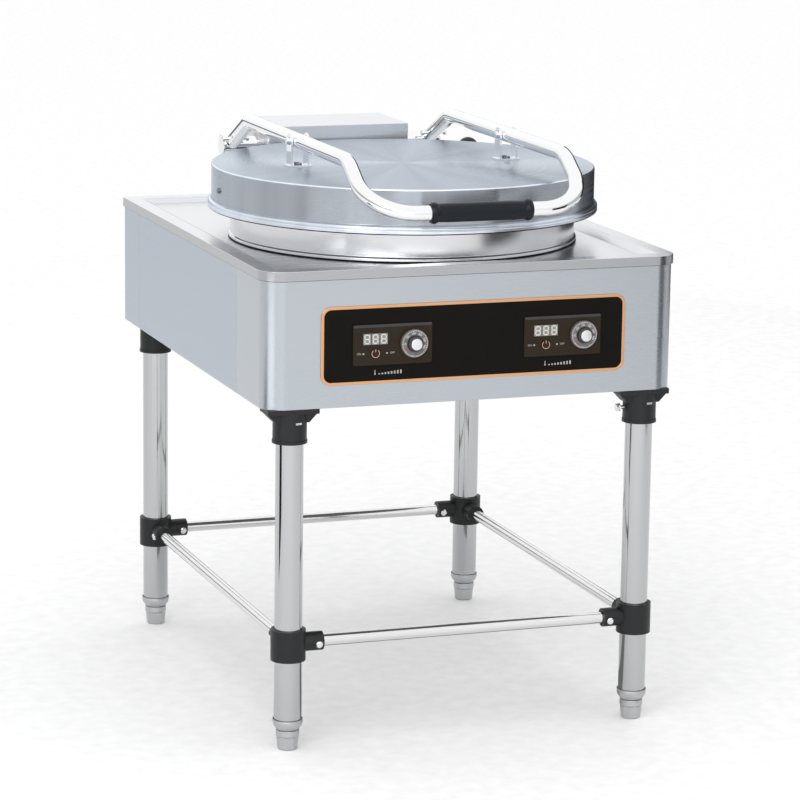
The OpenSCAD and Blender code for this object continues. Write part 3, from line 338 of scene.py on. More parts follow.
# The lid's steel takes painted highlight streaks, and painted shade, painted shadow and painted highlight by
# face.
LID_STEEL = steel(
    "lid steel", (0.390, 0.415, 0.455), 0.28, centre=PAN_CENTRE, relief=0.00001, streak_highlight=0.12, takes_painted_light=True,
    edge=(0.90, 0.95, 1.0), brushed=0.85,
)
CLOSING_STEEL = steel("closing ring steel", (0.365, 0.390, 0.430), 0.24, centre=PAN_CENTRE)
RING_STEEL = steel("pan ring steel", (0.67, 0.675, 0.69), 0.22, centre=PAN_CENTRE, relief=0.00001)
LEG_STEEL = steel(
    "leg tube steel", (0.475, 0.482, 0.488), 0.075, turn=(0, QUARTER, 0), relief=0.000006, contrast=0.03,
)
BRACE_STEEL = steel("brace tube steel", (0.70, 0.70, 0.70), 0.09, relief=0.000006, contrast=0.03)
# The base plate's steel is darkened as painted shade, for the shade under the cabinet that the bright tubes
# reflect.
BASE_PAINTED_SHADE = steel("base plate painted shade", (0.18, 0.18, 0.185), 0.5, contrast=0.12)
CHROME = steel("arm chrome", (0.80, 0.81, 0.82), 0.045, relief=0.000004, contrast=0.02)
# Dark steel for the lid's screws.
SCREW_DARK = steel("dark screw steel", (0.20, 0.20, 0.21), 0.30, contrast=0.08)
BOLT_STEEL = steel("bolt zinc", (0.74, 0.75, 0.76), 0.24, contrast=0.08)
COPPER = steel("trim copper", (0.68, 0.375, 0.205), 0.34, contrast=0.06)
FOOT_METAL = steel("foot casting", (0.50, 0.505, 0.515), 0.42, contrast=0.10)
DIAL_BLACK = moulded("dial black", (0.120, 0.112, 0.108), 0.40, shine=0.3)
HUB_DARK = moulded("hub dark", (0.035, 0.035, 0.038), 0.36, shine=0.35)
CAP_METAL = steel("cap silver", (0.72, 0.72, 0.73), 0.34, contrast=0.06)
ROD_METAL = steel("heating rod", (0.20, 0.19, 0.19), 0.50, contrast=0.15)
SPRING_STEEL = steel("spring steel", (0.35, 0.35, 0.36), 0.35)
BUSH_METAL = steel("bush sinter", (0.52, 0.51, 0.50), 0.36)
CAST_PLATE = moulded("cast plate", (0.055, 0.055, 0.058), 0.55, grain=500.0, depth=0.00015)
SOCKET_BLACK = moulded("socket black", (0.0105, 0.0110, 0.0120), 0.42, shine=0.30)
GRIP_BLACK = moulded("grip black", (0.0060, 0.0078, 0.0125), 0.30, shine=0.18)
# Black for a painted shadow ring at the foot of the pan collar.
SHADOW_BLACK = moulded("painted shadow black", (0.006, 0.006, 0.007), 0.60, shine=0.10)
PANEL_BLACK = moulded(
    "panel black", (0.0055, 0.0045, 0.0035), 0.32, grain=2600.0, depth=0.00001, shine=0.06,
)
BEZEL_BLACK = moulded(
    "bezel black", (0.0168, 0.0112, 0.0056), 0.38, grain=2200.0, depth=0.00003, shine=0.16,
)
# A lighter grey for a painted highlight along the controllers' top edge.
RIDGE_PAINTED_HIGHLIGHT = moulded("ridge painted highlight", (0.030, 0.031, 0.034), 0.34, grain=2200.0, depth=0.00003, shine=0.3)
WINDOW_DARK = moulded("window dark", (0.010, 0.009, 0.008), 0.22, grain=2600.0, depth=0.00001, shine=0.2)
TILE_GREY = moulded("display tile", (0.20, 0.195, 0.18), 0.30, grain=2600.0, depth=0.00001, shine=0.2)
CONTACTOR_GREY = moulded("contactor grey", (0.20, 0.21, 0.22), 0.45)
TERMINAL_CREAM = moulded("terminal cream", (0.62, 0.55, 0.38), 0.45)
WOOL = moulded("mineral wool", (0.55, 0.47, 0.28), 0.95, grain=260.0, depth=0.0015)
INK_WHITE = printed("print white", (0.74, 0.73, 0.71))
INK_FAINT = printed("print faint", (0.36, 0.35, 0.33))
INK_PEACH = printed("print peach", (0.58, 0.35, 0.24))
INK_RED = printed("print red", (0.52, 0.06, 0.04))
FLAG_CLOTH = moulded("flag cloth", (0.020, 0.020, 0.022), 0.9, grain=300.0, shine=0.1)
FLAG_PALE = moulded("pale flag cloth", (0.55, 0.55, 0.56), 0.9, grain=300.0, light=1.05, shine=0.1)
CARD_WHITE = printed("card white", (1.0, 1.0, 1.0), glow=1.5)
FLAG_GREY = moulded("grey flag cloth", (0.14, 0.14, 0.145), 0.9, grain=300.0, shine=0.1)
# The display's bars are unlit; their faint glow is painted light.
SEGMENT_PAINTED_GLOW = printed("segment painted glow", (0.56, 0.56, 0.53), glow=0.08)


# Meshes

def finish(name, bm, material, body, stands_for=(), smooth=40):
    """Closes a bmesh into an object that rides on a body, and may stand for CAD nodes."""
    bmesh.ops.remove_doubles(bm, verts=bm.verts, dist=1e-6)
    bmesh.ops.recalc_face_normals(bm, faces=bm.faces)
    mesh = bpy.data.meshes.new(name)
    bm.to_mesh(mesh)
    bm.free()
    mesh.shade_smooth()
    mesh.set_sharp_from_angle(angle=math.radians(smooth))
    mesh.materials.append(material)
    piece = bpy.data.objects.new(name, mesh)
    bpy.context.scene.collection.objects.link(piece)
    weighted = piece.modifiers.new("even shading", "WEIGHTED_NORMAL")
    weighted.keep_sharp = True
    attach(piece, body)
    if stands_for:
        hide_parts(*stands_for)
    return piece


def bevel(bm, edges, width, segments):
    bmesh.ops.bevel(
        bm, geom=edges, offset=width, offset_type="OFFSET", segments=segments, profile=0.5,
        affect="EDGES", clamp_overlap=True, material=-1,
    )


def sharp_edges(bm, degrees):
    limit = math.radians(degrees)
    return [e for e in bm.edges if e.is_manifold and e.calc_face_angle(0) > limit]


def edges_of(verts):
    return list({e for v in verts for e in v.link_edges})


def verts_of(geometry):
    return [g for g in geometry if isinstance(g, bmesh.types.BMVert)]


def edges_in(geometry):
    return [g for g in geometry if isinstance(g, bmesh.types.BMEdge)]


def set_painted_light(bm, painted_light_of):
    """Gives each face its painted shade, painted shadow or painted highlight, by its middle and its normal."""
    bm.normal_update()
    layer = bm.faces.layers.float.new(PAINTED_LIGHT)
    for face in bm.faces:
        face[layer] = painted_light_of(face.calc_center_median(), face.normal)


def dressed(node, material, width, segments=2, body=None, degrees=40, shape=None, painted_light_of=None):
    """A CAD node's form with its sharp edges broken, as a pressed, cast or moulded piece has them."""
    bm = bmesh.new()
    bm.from_mesh(NODES[node].data)
    bmesh.ops.remove_doubles(bm, verts=bm.verts, dist=2e-6)
    bmesh.ops.dissolve_limit(
        bm, angle_limit=math.radians(0.5), verts=bm.verts, edges=bm.edges, use_dissolve_boundaries=False,
    )
    if shape:
        shape(bm)
    bevel(bm, sharp_edges(bm, degrees), width, segments)
    if painted_light_of:
        set_painted_light(bm, painted_light_of)
    return finish(node + ".dressed", bm, material, body or NODES[node]["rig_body"], [node])


def rounded_line(points, steps=5):
    """A line through points (x, y) with an arc at each point that has a radius (x, y, radius)."""
    out = []
    for i, point in enumerate(points):
        here = Vector(point[:2])
        if len(point) < 3:
            out.append(here)
            continue
        back = (Vector(points[i - 1][:2]) - here).normalized()
        ahead = (Vector(points[(i + 1) % len(points)][:2]) - here).normalized()
        half = back.angle(ahead) / 2
        centre = here + (back + ahead).normalized() * (point[2] / math.sin(half))
        first = here + back * (point[2] / math.tan(half)) - centre
        last = here + ahead * (point[2] / math.tan(half)) - centre
        sweep = first.angle_signed(last)
        for k in range(steps + 1):
            turn = -sweep * k / steps
            out.append(centre + Matrix.Rotation(turn, 2) @ first)
    return out


def lathe(bm, points, place=Matrix(), steps=ROUND, closed=False):
    """Turns a line of (radius, height) points about the place's Z axis."""
    line = rounded_line(points)
    verts = [bm.verts.new((p.x, 0, p.y)) for p in line]
    pairs = list(zip(verts, verts[1:]))
    if closed:
        pairs.append((verts[-1], verts[0]))
    edges = [bm.edges.new(pair) for pair in pairs]
    others = set(bm.verts) - set(verts)
    bmesh.ops.spin(
        bm, geom=verts + edges, cent=(0, 0, 0), axis=(0, 0, 1), dvec=(0, 0, 0), angle=2 * math.pi,
        steps=steps, use_merge=True, use_duplicate=False,
    )
    made = [v for v in bm.verts if v not in others]
    bmesh.ops.remove_doubles(bm, verts=made, dist=1e-7)
    made = [v for v in bm.verts if v not in others]
    bmesh.ops.transform(bm, matrix=place, verts=made)


def rod(bm, place, reach, start, end, steps):
    """A plain round rod along the place's Z axis."""
    lathe(bm, [(0, start), (reach, start), (reach, end), (0, end)], place, steps)


def pipe(bm, place, reach, wall, start, end, edge, steps):
    """A pipe along the place's Z axis, with its outer edges rounded."""
    lathe(bm, [
        (reach - wall, start), (reach, start, edge), (reach, end, edge), (reach - wall, end),
    ], place, steps, closed=True)


def facing(origin, way):
    """A place whose Z axis points along a direction."""
    turn = Vector((0, 0, 1)).rotation_difference(Vector(way)).to_matrix().to_4x4()
    return Matrix.Translation(origin) @ turn


def middle(node):
    low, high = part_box(node)
    return (low + high) / 2


def hex_head(bm, place, across, height):
    """A six-sided bolt head on a washer, with its crown chamfered."""
    washer = across * 0.62
    lathe(bm, [(0, 0), (washer, 0), (washer, height * 0.22, height * 0.08), (0, height * 0.22)], place, 32)
    corner = across / math.sqrt(3)
    made = bmesh.ops.create_cone(
        bm, cap_ends=True, segments=6, radius1=corner, radius2=corner, depth=height * 0.8,
        matrix=place @ Matrix.Translation((0, 0, height * 0.6)),
    )["verts"]
    faces = {f for v in made for f in v.link_faces}
    outer = max(faces, key=lambda f: (place.inverted() @ f.calc_center_median()).z)
    bevel(bm, list(outer.edges), across * 0.09, 2)


def run_tube(bm, start, way, radius, moves, sides=40):
    """A tube that starts with a ring and goes on by straight lengths and bends."""
    ring = bmesh.ops.create_circle(
        bm, cap_ends=True, segments=sides, radius=radius, matrix=facing(start, way),
    )["verts"]
    edges = edges_of(ring)
    at = Vector(start)
    way = Vector(way).normalized()
    for kind, value, normal in moves:
        if kind == "straight":
            grown = bmesh.ops.extrude_edge_only(bm, edges=edges)["geom"]
            verts = verts_of(grown)
            bmesh.ops.translate(bm, vec=way * value, verts=verts)
            at = at + way * value
            edges = [e for e in edges_in(grown) if set(e.verts) <= set(verts)]
        else:
            bend, angle = value
            axis = Vector(normal).normalized()
            centre = at + axis.cross(way) * bend
            spun = bmesh.ops.spin(
                bm, geom=edges, cent=centre, axis=axis, dvec=(0, 0, 0), angle=angle,
                steps=max(4, round(abs(angle) * 16)), use_merge=False, use_duplicate=False,
            )["geom_last"]
            edges = edges_in(spun)
            turn = Matrix.Rotation(angle, 4, axis)
            at = centre + turn @ (at - centre)
            way = turn @ way
    bmesh.ops.contextual_create(bm, geom=edges)


def bar(bm, low, high, round_off=0.0):
    """A block between two corners, with its edges broken."""
    low, high = Vector(low), Vector(high)
    size = high - low
    place = Matrix.Translation((low + high) / 2) @ Matrix.Diagonal((*size, 1))
    made = bmesh.ops.create_cube(bm, size=1, matrix=place)["verts"]
    if round_off:
        bevel(bm, edges_of(made), round_off, 2)


# Stage

def set_camera():
    data = bpy.data.cameras.new("camera")
    data.sensor_width = SENSOR_MM
    data.lens = FOCAL_PIXELS / IMAGE_SIDE * SENSOR_MM
    data.clip_end = 200
    ahead = Vector((
        math.sin(CAMERA_AZIMUTH) * math.cos(CAMERA_PITCH),
        math.cos(CAMERA_AZIMUTH) * math.cos(CAMERA_PITCH),
        -math.sin(CAMERA_PITCH),
    ))
    right = Vector((math.cos(CAMERA_AZIMUTH), -math.sin(CAMERA_AZIMUTH), 0))
    down = ahead.cross(right)
    side = right * math.cos(CAMERA_ROLL) + down * math.sin(CAMERA_ROLL)
    up = right * math.sin(CAMERA_ROLL) - down * math.cos(CAMERA_ROLL)
    turn = Matrix((side, up, -ahead)).transposed().to_4x4()
    camera = bpy.data.objects.new("camera", data)
    camera.matrix_world = Matrix.Translation(CAMERA_PLACE) @ turn
    bpy.context.scene.collection.objects.link(camera)
    bpy.context.scene.camera = camera


def set_light():
    """A bright even sky, dimmer low down at both sides, that shows plain white as the backdrop."""
    bpy.context.scene.view_settings.view_transform = "Standard"
    world = bpy.data.worlds.new("studio")
    bpy.context.scene.world = world
    world.use_nodes = True
    tree = world.node_tree
    coords = add(tree, "ShaderNodeTexCoord")
    way = add(tree, "ShaderNodeSeparateXYZ", Vector=coords.outputs["Generated"]).outputs
    sideways = calculate(tree, "ShaderNodeMath", "MULTIPLY", way["X"], way["X"])
    low_down = ramp(tree, way["Z"], 0.04, 0.36, 0.8, 0.0)
    dim = calculate(tree, "ShaderNodeMath", "MULTIPLY", sideways, low_down)
    level = ramp(tree, dim, 0.0, 1.0, SKY_LEVEL, 0.0)
    seen = add(tree, "ShaderNodeLightPath").outputs["Is Camera Ray"]
    show = add(tree, "ShaderNodeMix", data_type="FLOAT", Factor=seen, A=level, B=1.0)
    feed(tree, tree.nodes["Background"], Color=(1, 1, 1, 1), Strength=show.outputs["Result"])
    for name, place, aim, size, power in (
        ("key softbox", (-2.6, -3.4, 3.6), (0, 0, 0.6), (2.6, 2.6), 60),
        ("front softbox", (-0.9, -6.2, 2.5), (0, 0, 0.9), (3.6, 1.8), 48),
    ):
        data = bpy.data.lights.new(name, "AREA")
        data.shape = "RECTANGLE"
        data.size, data.size_y = size
        data.energy = power
        lamp = bpy.data.objects.new(name, data)
        lamp.matrix_world = facing(place, Vector(place) - Vector(aim))
        bpy.context.scene.collection.objects.link(lamp)
    for setting in (
        ("left flag", (-1.65, -0.57), (-1.10, -0.185), 0.07, 0.42, FLAG_CLOTH),
        ("rear flag", (2.06, 3.43), (3.86, 1.04), 0.0, 2.8, FLAG_CLOTH),
        ("right flag", (2.61, -1.48), (1.57, -2.55), 0.0, 1.0, FLAG_CLOTH),
        ("side flag", (3.86, 1.04), (3.50, -1.80), 0.0, 1.2, FLAG_PALE),
        ("back flag", (-2.7, 5.0), (2.7, 5.0), 0.45, 0.95, FLAG_GREY),
        ("bounce card", (-1.39, -1.47), (-1.82, -0.62), 0.28, 0.50, CARD_WHITE),
    ):
        flag(*setting)


def stage_piece(name, bm, material):
    mesh = bpy.data.meshes.new(name)
    bm.to_mesh(mesh)
    bm.free()
    mesh.materials.append(material)
    piece = bpy.data.objects.new(name, mesh)
    bpy.context.scene.collection.objects.link(piece)
    return piece


def flag(name, first, last, low, high, cloth):
    """A studio flag or card that stands out of the picture, for the lines and tones in bright metal."""
    bm = bmesh.new()
    foot_line = bm.edges.new([bm.verts.new((*point, low)) for point in (first, last)])
    grown = bmesh.ops.extrude_edge_only(bm, edges=[foot_line])["geom"]
    bmesh.ops.translate(bm, vec=(0, 0, high - low), verts=verts_of(grown))
    only_mirrored(stage_piece(name, bm, cloth))


def only_mirrored(piece):
    """Leaves a stage piece to be seen in bright metal alone."""
    piece.visible_camera = False
    piece.visible_diffuse = False
    piece.visible_shadow = False


def set_floor():
    bm = bmesh.new()
    bmesh.ops.create_grid(bm, x_segments=1, y_segments=1, size=40)
    paint = moulded("floor paint", (0.90, 0.90, 0.90), 0.75, grain=40.0, depth=0.0001, light=1.02)
    stage_piece("floor", bm, paint)
    bm = bmesh.new()
    bmesh.ops.create_grid(
        bm, x_segments=1, y_segments=1, size=1,
        matrix=Matrix.Translation((0, -0.24, 0.002)) @ Matrix.Diagonal((0.33, 0.12, 1, 1)),
    )
    shade_paint = moulded(
        "floor shade", (0.30, 0.30, 0.30), 0.8, grain=40.0, depth=0.0001, light=1.02, shine=0.1,
    )
    only_mirrored(stage_piece("floor shade", bm, shade_paint))


# Stand

def leg_places():
    for place in ("front_left", "front_right", "rear_left", "rear_right"):
        spot = middle("leg_" + place)
        yield place, Vector((spot.x, spot.y, 0))


def stand():
    for place, spot in leg_places():
        low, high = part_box("leg_" + place)
        at = Matrix.Translation(spot)
        bm = bmesh.new()
        pipe(bm, at, (high.x - low.x) / 2, TUBE_WALL, low.z, high.z, 0.0006, ROUND)
        finish("leg_tube_" + place, bm, LEG_STEEL, "cabinet", ["leg_" + place])
        foot(place, at)
        dressed("brace_clamp_" + place, SOCKET_BLACK, 0.0012, 3)
    for side in ("front", "rear", "left", "right"):
        brace(side)
    dressed("leg_sockets", SOCKET_BLACK, 0.0014, 3)
    leg_screws()
    socket_tongues()
    clamp_bolts()


def foot(place, at):
    """A cast levelling foot with eight flats, and the collar in the end of its leg."""
    low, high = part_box("foot_" + place)
    wide = (high.x - low.x) / 2
    collar_low, collar_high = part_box("foot_inserts")
    collar = wide + 0.0055
    shoulder = collar_low.z - 0.0003
    stem, bore, socket = 0.006, 0.00605, 0.0209
    bm = bmesh.new()
    lathe(bm, [
        (0, shoulder - 0.012), (wide - 0.002, shoulder - 0.012), (wide, shoulder - 0.009, 0.001),
        (wide, shoulder, 0.0008), (stem, shoulder), (stem, high.z - 0.0004, 0.0003), (0, high.z - 0.0004),
    ], at, 48)
    tall = shoulder - 0.0115 - low.z
    made = bmesh.ops.create_cone(
        bm, cap_ends=True, segments=8, radius1=wide - 0.0022, radius2=wide - 0.0004, depth=tall,
        matrix=at @ Matrix.Translation((0, 0, low.z + tall / 2)) @ Matrix.Rotation(math.radians(20), 4, "Z"),
    )["verts"]
    edges = edges_of(made)
    bottom = [e for e in edges if all(v.co.z < low.z + 0.001 for v in e.verts)]
    upright = [e for e in edges if abs(e.verts[0].co.z - e.verts[1].co.z) > tall / 2]
    bevel(bm, bottom + upright, 0.0022, 3)
    finish("levelling_foot_" + place, bm, FOOT_METAL, f"foot_{place}_body", ["foot_" + place])
    bm = bmesh.new()
    top = collar_low.z + 0.018
    lathe(bm, [
        (bore, collar_low.z), (collar - 0.007, collar_low.z, 0.001),
        (collar - 0.0014, collar_low.z + 0.0075, 0.004), (collar - 0.0002, collar_low.z + 0.0120, 0.001),
        (collar, collar_low.z + 0.0125, 0.0004), (collar, top - 0.0022, 0.0012), (collar - 0.0022, top, 0.0010),
        (0.0246, top, 0.0004), (0.0230, top - 0.0040), (socket, top - 0.0040), (socket, collar_high.z - 0.001),
        (bore, collar_high.z - 0.001),
    ], at, 64, closed=True)
    stands = ["foot_inserts"] if place == "front_left" else ()
    finish("leg_collar_" + place, bm, FOOT_METAL, "cabinet", stands)


def brace(side):
    low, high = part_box("brace_" + side)
    along_x = side in ("front", "rear")
    length = high.x - low.x if along_x else high.y - low.y
    start = middle("brace_" + side)
    if along_x:
        start.x = low.x
    else:
        start.y = low.y
    place = facing(start, (1, 0, 0) if along_x else (0, 1, 0))
    bm = bmesh.new()
    pipe(bm, place, (high.z - low.z) / 2, TUBE_WALL, 0, length, 0.0004, 48)
    finish("brace_tube_" + side, bm, BRACE_STEEL, "cabinet", ["brace_" + side])


def leg_screws():
    bm = bmesh.new()
    height = middle("leg_screws").z
    reach = 0.0275
    for place, spot in leg_places():
        way = Vector((-1, 0, 0)) if place.endswith("right") else Vector((0, 1, 0))
        axis = spot + Vector((0, 0, height))
        rod(bm, facing(axis + way * (reach - 0.006), way), 0.003, 0, 0.015, 24)
        hex_head(bm, facing(axis + way * (reach + 0.008), way), 0.0112, 0.007)
    finish("leg_set_screws", bm, BOLT_STEEL, "cabinet", ["leg_screws"])


def socket_tongues():
    """Bright clips that hold each leg, seen through the windows of the sockets."""
    bm = bmesh.new()
    turn = math.radians(15)
    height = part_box("leg_sockets")[1].z - 0.023
    for _, spot in leg_places():
        at = Matrix.Translation(spot + Vector((0, 0, height))) @ Matrix.Rotation(turn, 4, "Z")
        shape = Matrix.Translation((0, -0.0257, 0)) @ Matrix.Diagonal((0.0112, 0.0026, 0.0036, 1))
        made = bmesh.ops.create_cube(bm, size=1, matrix=at @ shape)["verts"]
        bevel(bm, edges_of(made), 0.0004, 2)
    finish("socket_clips", bm, CAP_METAL, "cabinet")


def clamp_bolts():
    bm = bmesh.new()
    height = middle("brace_front").z
    dome = [(0, 0), (0.006, 0), (0.006, 0.0018, 0.0006), (0.0044, 0.0036, 0.0012), (0, 0.0038)]
    tilt = math.radians(10)
    sleeve = 0.0155
    out = 0.048
    for place, spot in leg_places():
        side = 1 if place.endswith("right") else -1
        deep = 1 if place.startswith("rear") else -1
        across = spot + Vector((-side * out, 0, height))
        along = spot + Vector((0, -deep * out, height))
        front = Vector((0, -math.cos(tilt), -math.sin(tilt)))
        outer = Vector((side * math.cos(tilt), 0, -math.sin(tilt)))
        for base, way in ((across, front), (along, outer)):
            head = facing(base + way * sleeve, way)
            rod(bm, head, 0.0029, -0.005, 0.001, 20)
            lathe(bm, dome, head, 28)
    finish("clamp_bolt_set", bm, BOLT_STEEL, "cabinet", ["clamp_bolts"])


# Cabinet

def draw_in_recess(bm):
    """Moves the edge of the recess's floor in from the rim, so that the step is a pressed slope."""
    floor_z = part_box("pan_ring")[0].z
    floor_verts = [v for v in bm.verts if abs(v.co.z - floor_z) < 1e-5]
    half_x = max(v.co.x for v in floor_verts)
    half_y = max(v.co.y for v in floor_verts)
    for v in floor_verts:
        if min(half_x - abs(v.co.x), half_y - abs(v.co.y)) < 0.012:
            v.co.x *= 1 - RECESS_SLOPE / half_x
            v.co.y *= 1 - RECESS_SLOPE / half_y


def worktop_painted_light(spot, normal):
    """The worktop keeps its colour above; its skirt is darkened as painted shade, and the skirt's hem is
    darkened as painted shadow.
    """
    if spot.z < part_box("worktop")[0].z + HEM:
        return HEM_PAINTED_SHADOW
    return 1.0 if normal.z > 0.4 else SKIRT_PAINTED_SHADE


def cabinet():
    dressed("worktop", TOP_STEEL, 0.0009, 3, degrees=25, shape=draw_in_recess, painted_light_of=worktop_painted_light)
    dressed("front_panel", FRONT_STEEL, 0.0006, 2)
    for panel in ("side_panel_left", "side_panel_right", "rear_panel"):
        dressed(panel, SIDE_STEEL, 0.0006, 2)
    # The base plate takes painted shade.
    dressed("base_plate", BASE_PAINTED_SHADE, 0.0004, 1)
    dressed("hinge_box", BOX_STEEL, 0.0013, 3)
    dressed("cable_gland", SOCKET_BLACK, 0.0006, 2)
    lead_riser()
    for node, material in (
        ("contactors", CONTACTOR_GREY), ("terminal_block", TERMINAL_CREAM), ("heat_tray", BOX_STEEL),
        ("lower_element", ROD_METAL), ("upper_element", ROD_METAL), ("lower_insulation", WOOL),
        ("upper_insulation", WOOL), ("balance_springs", SPRING_STEEL), ("lower_pan", CAST_PLATE),
        ("upper_plate", CAST_PLATE), ("lid_closing_ring", CLOSING_STEEL), ("hinge_bushes", BUSH_METAL),
    ):
        NODES[node].data.materials.clear()
        NODES[node].data.materials.append(material)


def lead_riser():
    """Black ribbed riser with a domed head."""
    low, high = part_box("lead_riser")
    spot = (low + high) / 2
    foot_reach = (high.x - low.x) / 2
    neck = high.z - 0.036
    line = [(0, low.z), (foot_reach, low.z), (foot_reach, low.z + 0.004, 0.0015), (0.0125, low.z + 0.004)]
    z = low.z + 0.006
    while z + 0.004 < neck:
        line += [(0.0105, z), (0.0120, z + 0.0015, 0.0006), (0.0120, z + 0.0030, 0.0006), (0.0105, z + 0.0040)]
        z += 0.0045
    dome = 0.019
    line += [(0.0125, neck), (dome, neck + 0.004, 0.003)]
    for k in range(10):
        rise = QUARTER * k / 9
        line.append((dome * math.cos(rise), high.z - dome + dome * math.sin(rise)))
    bm = bmesh.new()
    lathe(bm, line, Matrix.Translation((spot.x, spot.y, 0)), 48)
    finish("lead_riser_ribbed", bm, SOCKET_BLACK, "cabinet", ["lead_riser"])


# Control panel

def letters(text, size, place, material, body, name):
    """Plain words or numbers as a thin mesh, in the place's XY plane."""
    data = bpy.data.curves.new(name, "FONT")
    data.body = text
    data.size = size
    data.align_x = "CENTER"
    data.align_y = "CENTER"
    data.extrude = 0.00004
    data.resolution_u = 4
    source = bpy.data.objects.new(name, data)
    bpy.context.scene.collection.objects.link(source)
    bpy.context.view_layer.update()
    mesh = bpy.data.meshes.new_from_object(source.evaluated_get(bpy.context.evaluated_depsgraph_get()))
    bpy.data.objects.remove(source)
    bm = bmesh.new()
    bm.from_mesh(mesh)
    bpy.data.meshes.remove(mesh)
    bmesh.ops.transform(bm, matrix=place, verts=bm.verts)
    return finish(name, bm, material, body, smooth=30)


def on_front(x, y, z):
    """A place on a face that looks to the front: its X to the right, its Y up."""
    return Matrix.Translation((x, y, z)) @ Matrix.Rotation(QUARTER, 4, "X")


def control_panel():
    dressed("fascia", PANEL_BLACK, 0.0003, 1)
    dressed("fascia_trim", COPPER, 0.0008, 3)
    for side in ("left", "right"):
        dressed("controller_" + side, BEZEL_BLACK, 0.0011, 3)
        ridge(side)
        display(side)
        power_key(side)
        dial(side)
        marks(side)


def ridge(side):
    """A ridge along a controller's upper edge, lighter than the bezel as a painted highlight."""
    low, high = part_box("controller_" + side)
    bm = bmesh.new()
    inset = 0.0006
    lower = (low.x + inset, low.y - inset, high.z - 0.0052)
    bar(bm, lower, (high.x - inset, low.y + SHEET, high.z - 0.0004), 0.0012)
    finish("controller_ridge_" + side, bm, RIDGE_PAINTED_HIGHLIGHT, "cabinet")


def bezel(side):
    """Middle of a controller's front face."""
    spot = middle("controller_" + side)
    spot.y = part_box("controller_" + side)[0].y
    return spot


def display(side):
    """A dark window with three grey tiles, each with a digit of seven bars."""
    face = bezel(side)
    low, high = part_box("display_windows")
    tall = high.z - low.z
    wide = 0.042
    centre = Vector((face.x - 0.029, face.y, (low.z + high.z) / 2))
    bm = bmesh.new()
    corner = Vector((wide / 2, 0, tall / 2))
    bar(bm, centre - corner, centre + corner + Vector((0, SHEET, 0)), 0.0003)
    stands = ["display_windows"] if side == "left" else ()
    finish("display_window_" + side, bm, WINDOW_DARK, "cabinet", stands)
    step = wide / 3
    tiles = bmesh.new()
    digits = bmesh.new()
    half = Vector((step / 2 - 0.0005, 0, tall / 2 - 0.0006))
    for k in (-1, 0, 1):
        spot = Vector((centre.x + k * step, centre.y, centre.z))
        bar(tiles, spot - half - Vector((0, 0.0001, 0)), spot + half + Vector((0, 0.0003, 0)), 0.00004)
        digit(digits, spot - Vector((0, 0.0002, 0)), 0.0076, 0.0135)
    finish("display_tiles_" + side, tiles, TILE_GREY, "cabinet")
    finish("display_digits_" + side, digits, SEGMENT_PAINTED_GLOW, "cabinet")


def digit(bm, centre, wide, tall):
    """Seven bars, each a thin lozenge."""
    thick = 0.0018
    gap = 0.00025
    half = tall / 2
    for z in (-half, 0, half):
        lozenge(bm, centre + Vector((0, 0, z)), wide / 2 - gap, thick / 2, False)
    for x in (-wide / 2, wide / 2):
        for z in (-half / 2, half / 2):
            lozenge(bm, centre + Vector((x, 0, z)), half / 2 - gap, thick / 2, True)


def lozenge(bm, centre, half, thick, upright):
    """A thin six-sided bar, pointed at both ends."""
    end = half - thick
    outline = [(-half, 0), (-end, -thick), (end, -thick), (half, 0), (end, thick), (-end, thick)]
    if upright:
        outline = [(-b, a) for a, b in outline]
    face = bm.faces.new([bm.verts.new(centre + Vector((a, 0, b))) for a, b in outline])
    grown = bmesh.ops.extrude_face_region(bm, geom=[face])["geom"]
    bmesh.ops.translate(bm, vec=(0, 0.00015, 0), verts=verts_of(grown))


def power_key(side):
    node = "power_key_" + side
    body = node + "_body"
    low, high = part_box(node)
    spot = (low + high) / 2
    reach = (high.x - low.x) / 2
    front = Vector((spot.x, high.y, spot.z))
    bm = bmesh.new()
    depth = high.y - low.y
    lathe(bm, [(0, 0), (reach, 0), (reach, depth, 0.0007), (0, depth)], facing(front, (0, -1, 0)), 64)
    finish("power_button_" + side, bm, BEZEL_BLACK, body, [node])
    bm = bmesh.new()
    ring_out, ring_in = 0.0068, 0.0059
    opening = math.radians(38)
    flat = bm.faces.new([bm.verts.new(p) for p in (
        (ring_in, 0, 0), (ring_out, 0, 0), (ring_out, 0, 0.0001), (ring_in, 0, 0.0001),
    )])
    turn = Matrix.Rotation(QUARTER + opening, 4, "Z")
    bmesh.ops.transform(bm, matrix=turn, verts=flat.verts)
    bmesh.ops.spin(
        bm, geom=[flat], cent=(0, 0, 0), axis=(0, 0, 1), dvec=(0, 0, 0),
        angle=2 * math.pi - 2 * opening, steps=40, use_merge=False, use_duplicate=False,
    )
    bar(bm, (-0.00045, 0.0022, 0), (0.00045, 0.0076, 0.0001))
    bmesh.ops.transform(bm, matrix=on_front(spot.x, low.y - PRINT, spot.z), verts=bm.verts)
    finish("power_sign_" + side, bm, INK_PEACH, body)


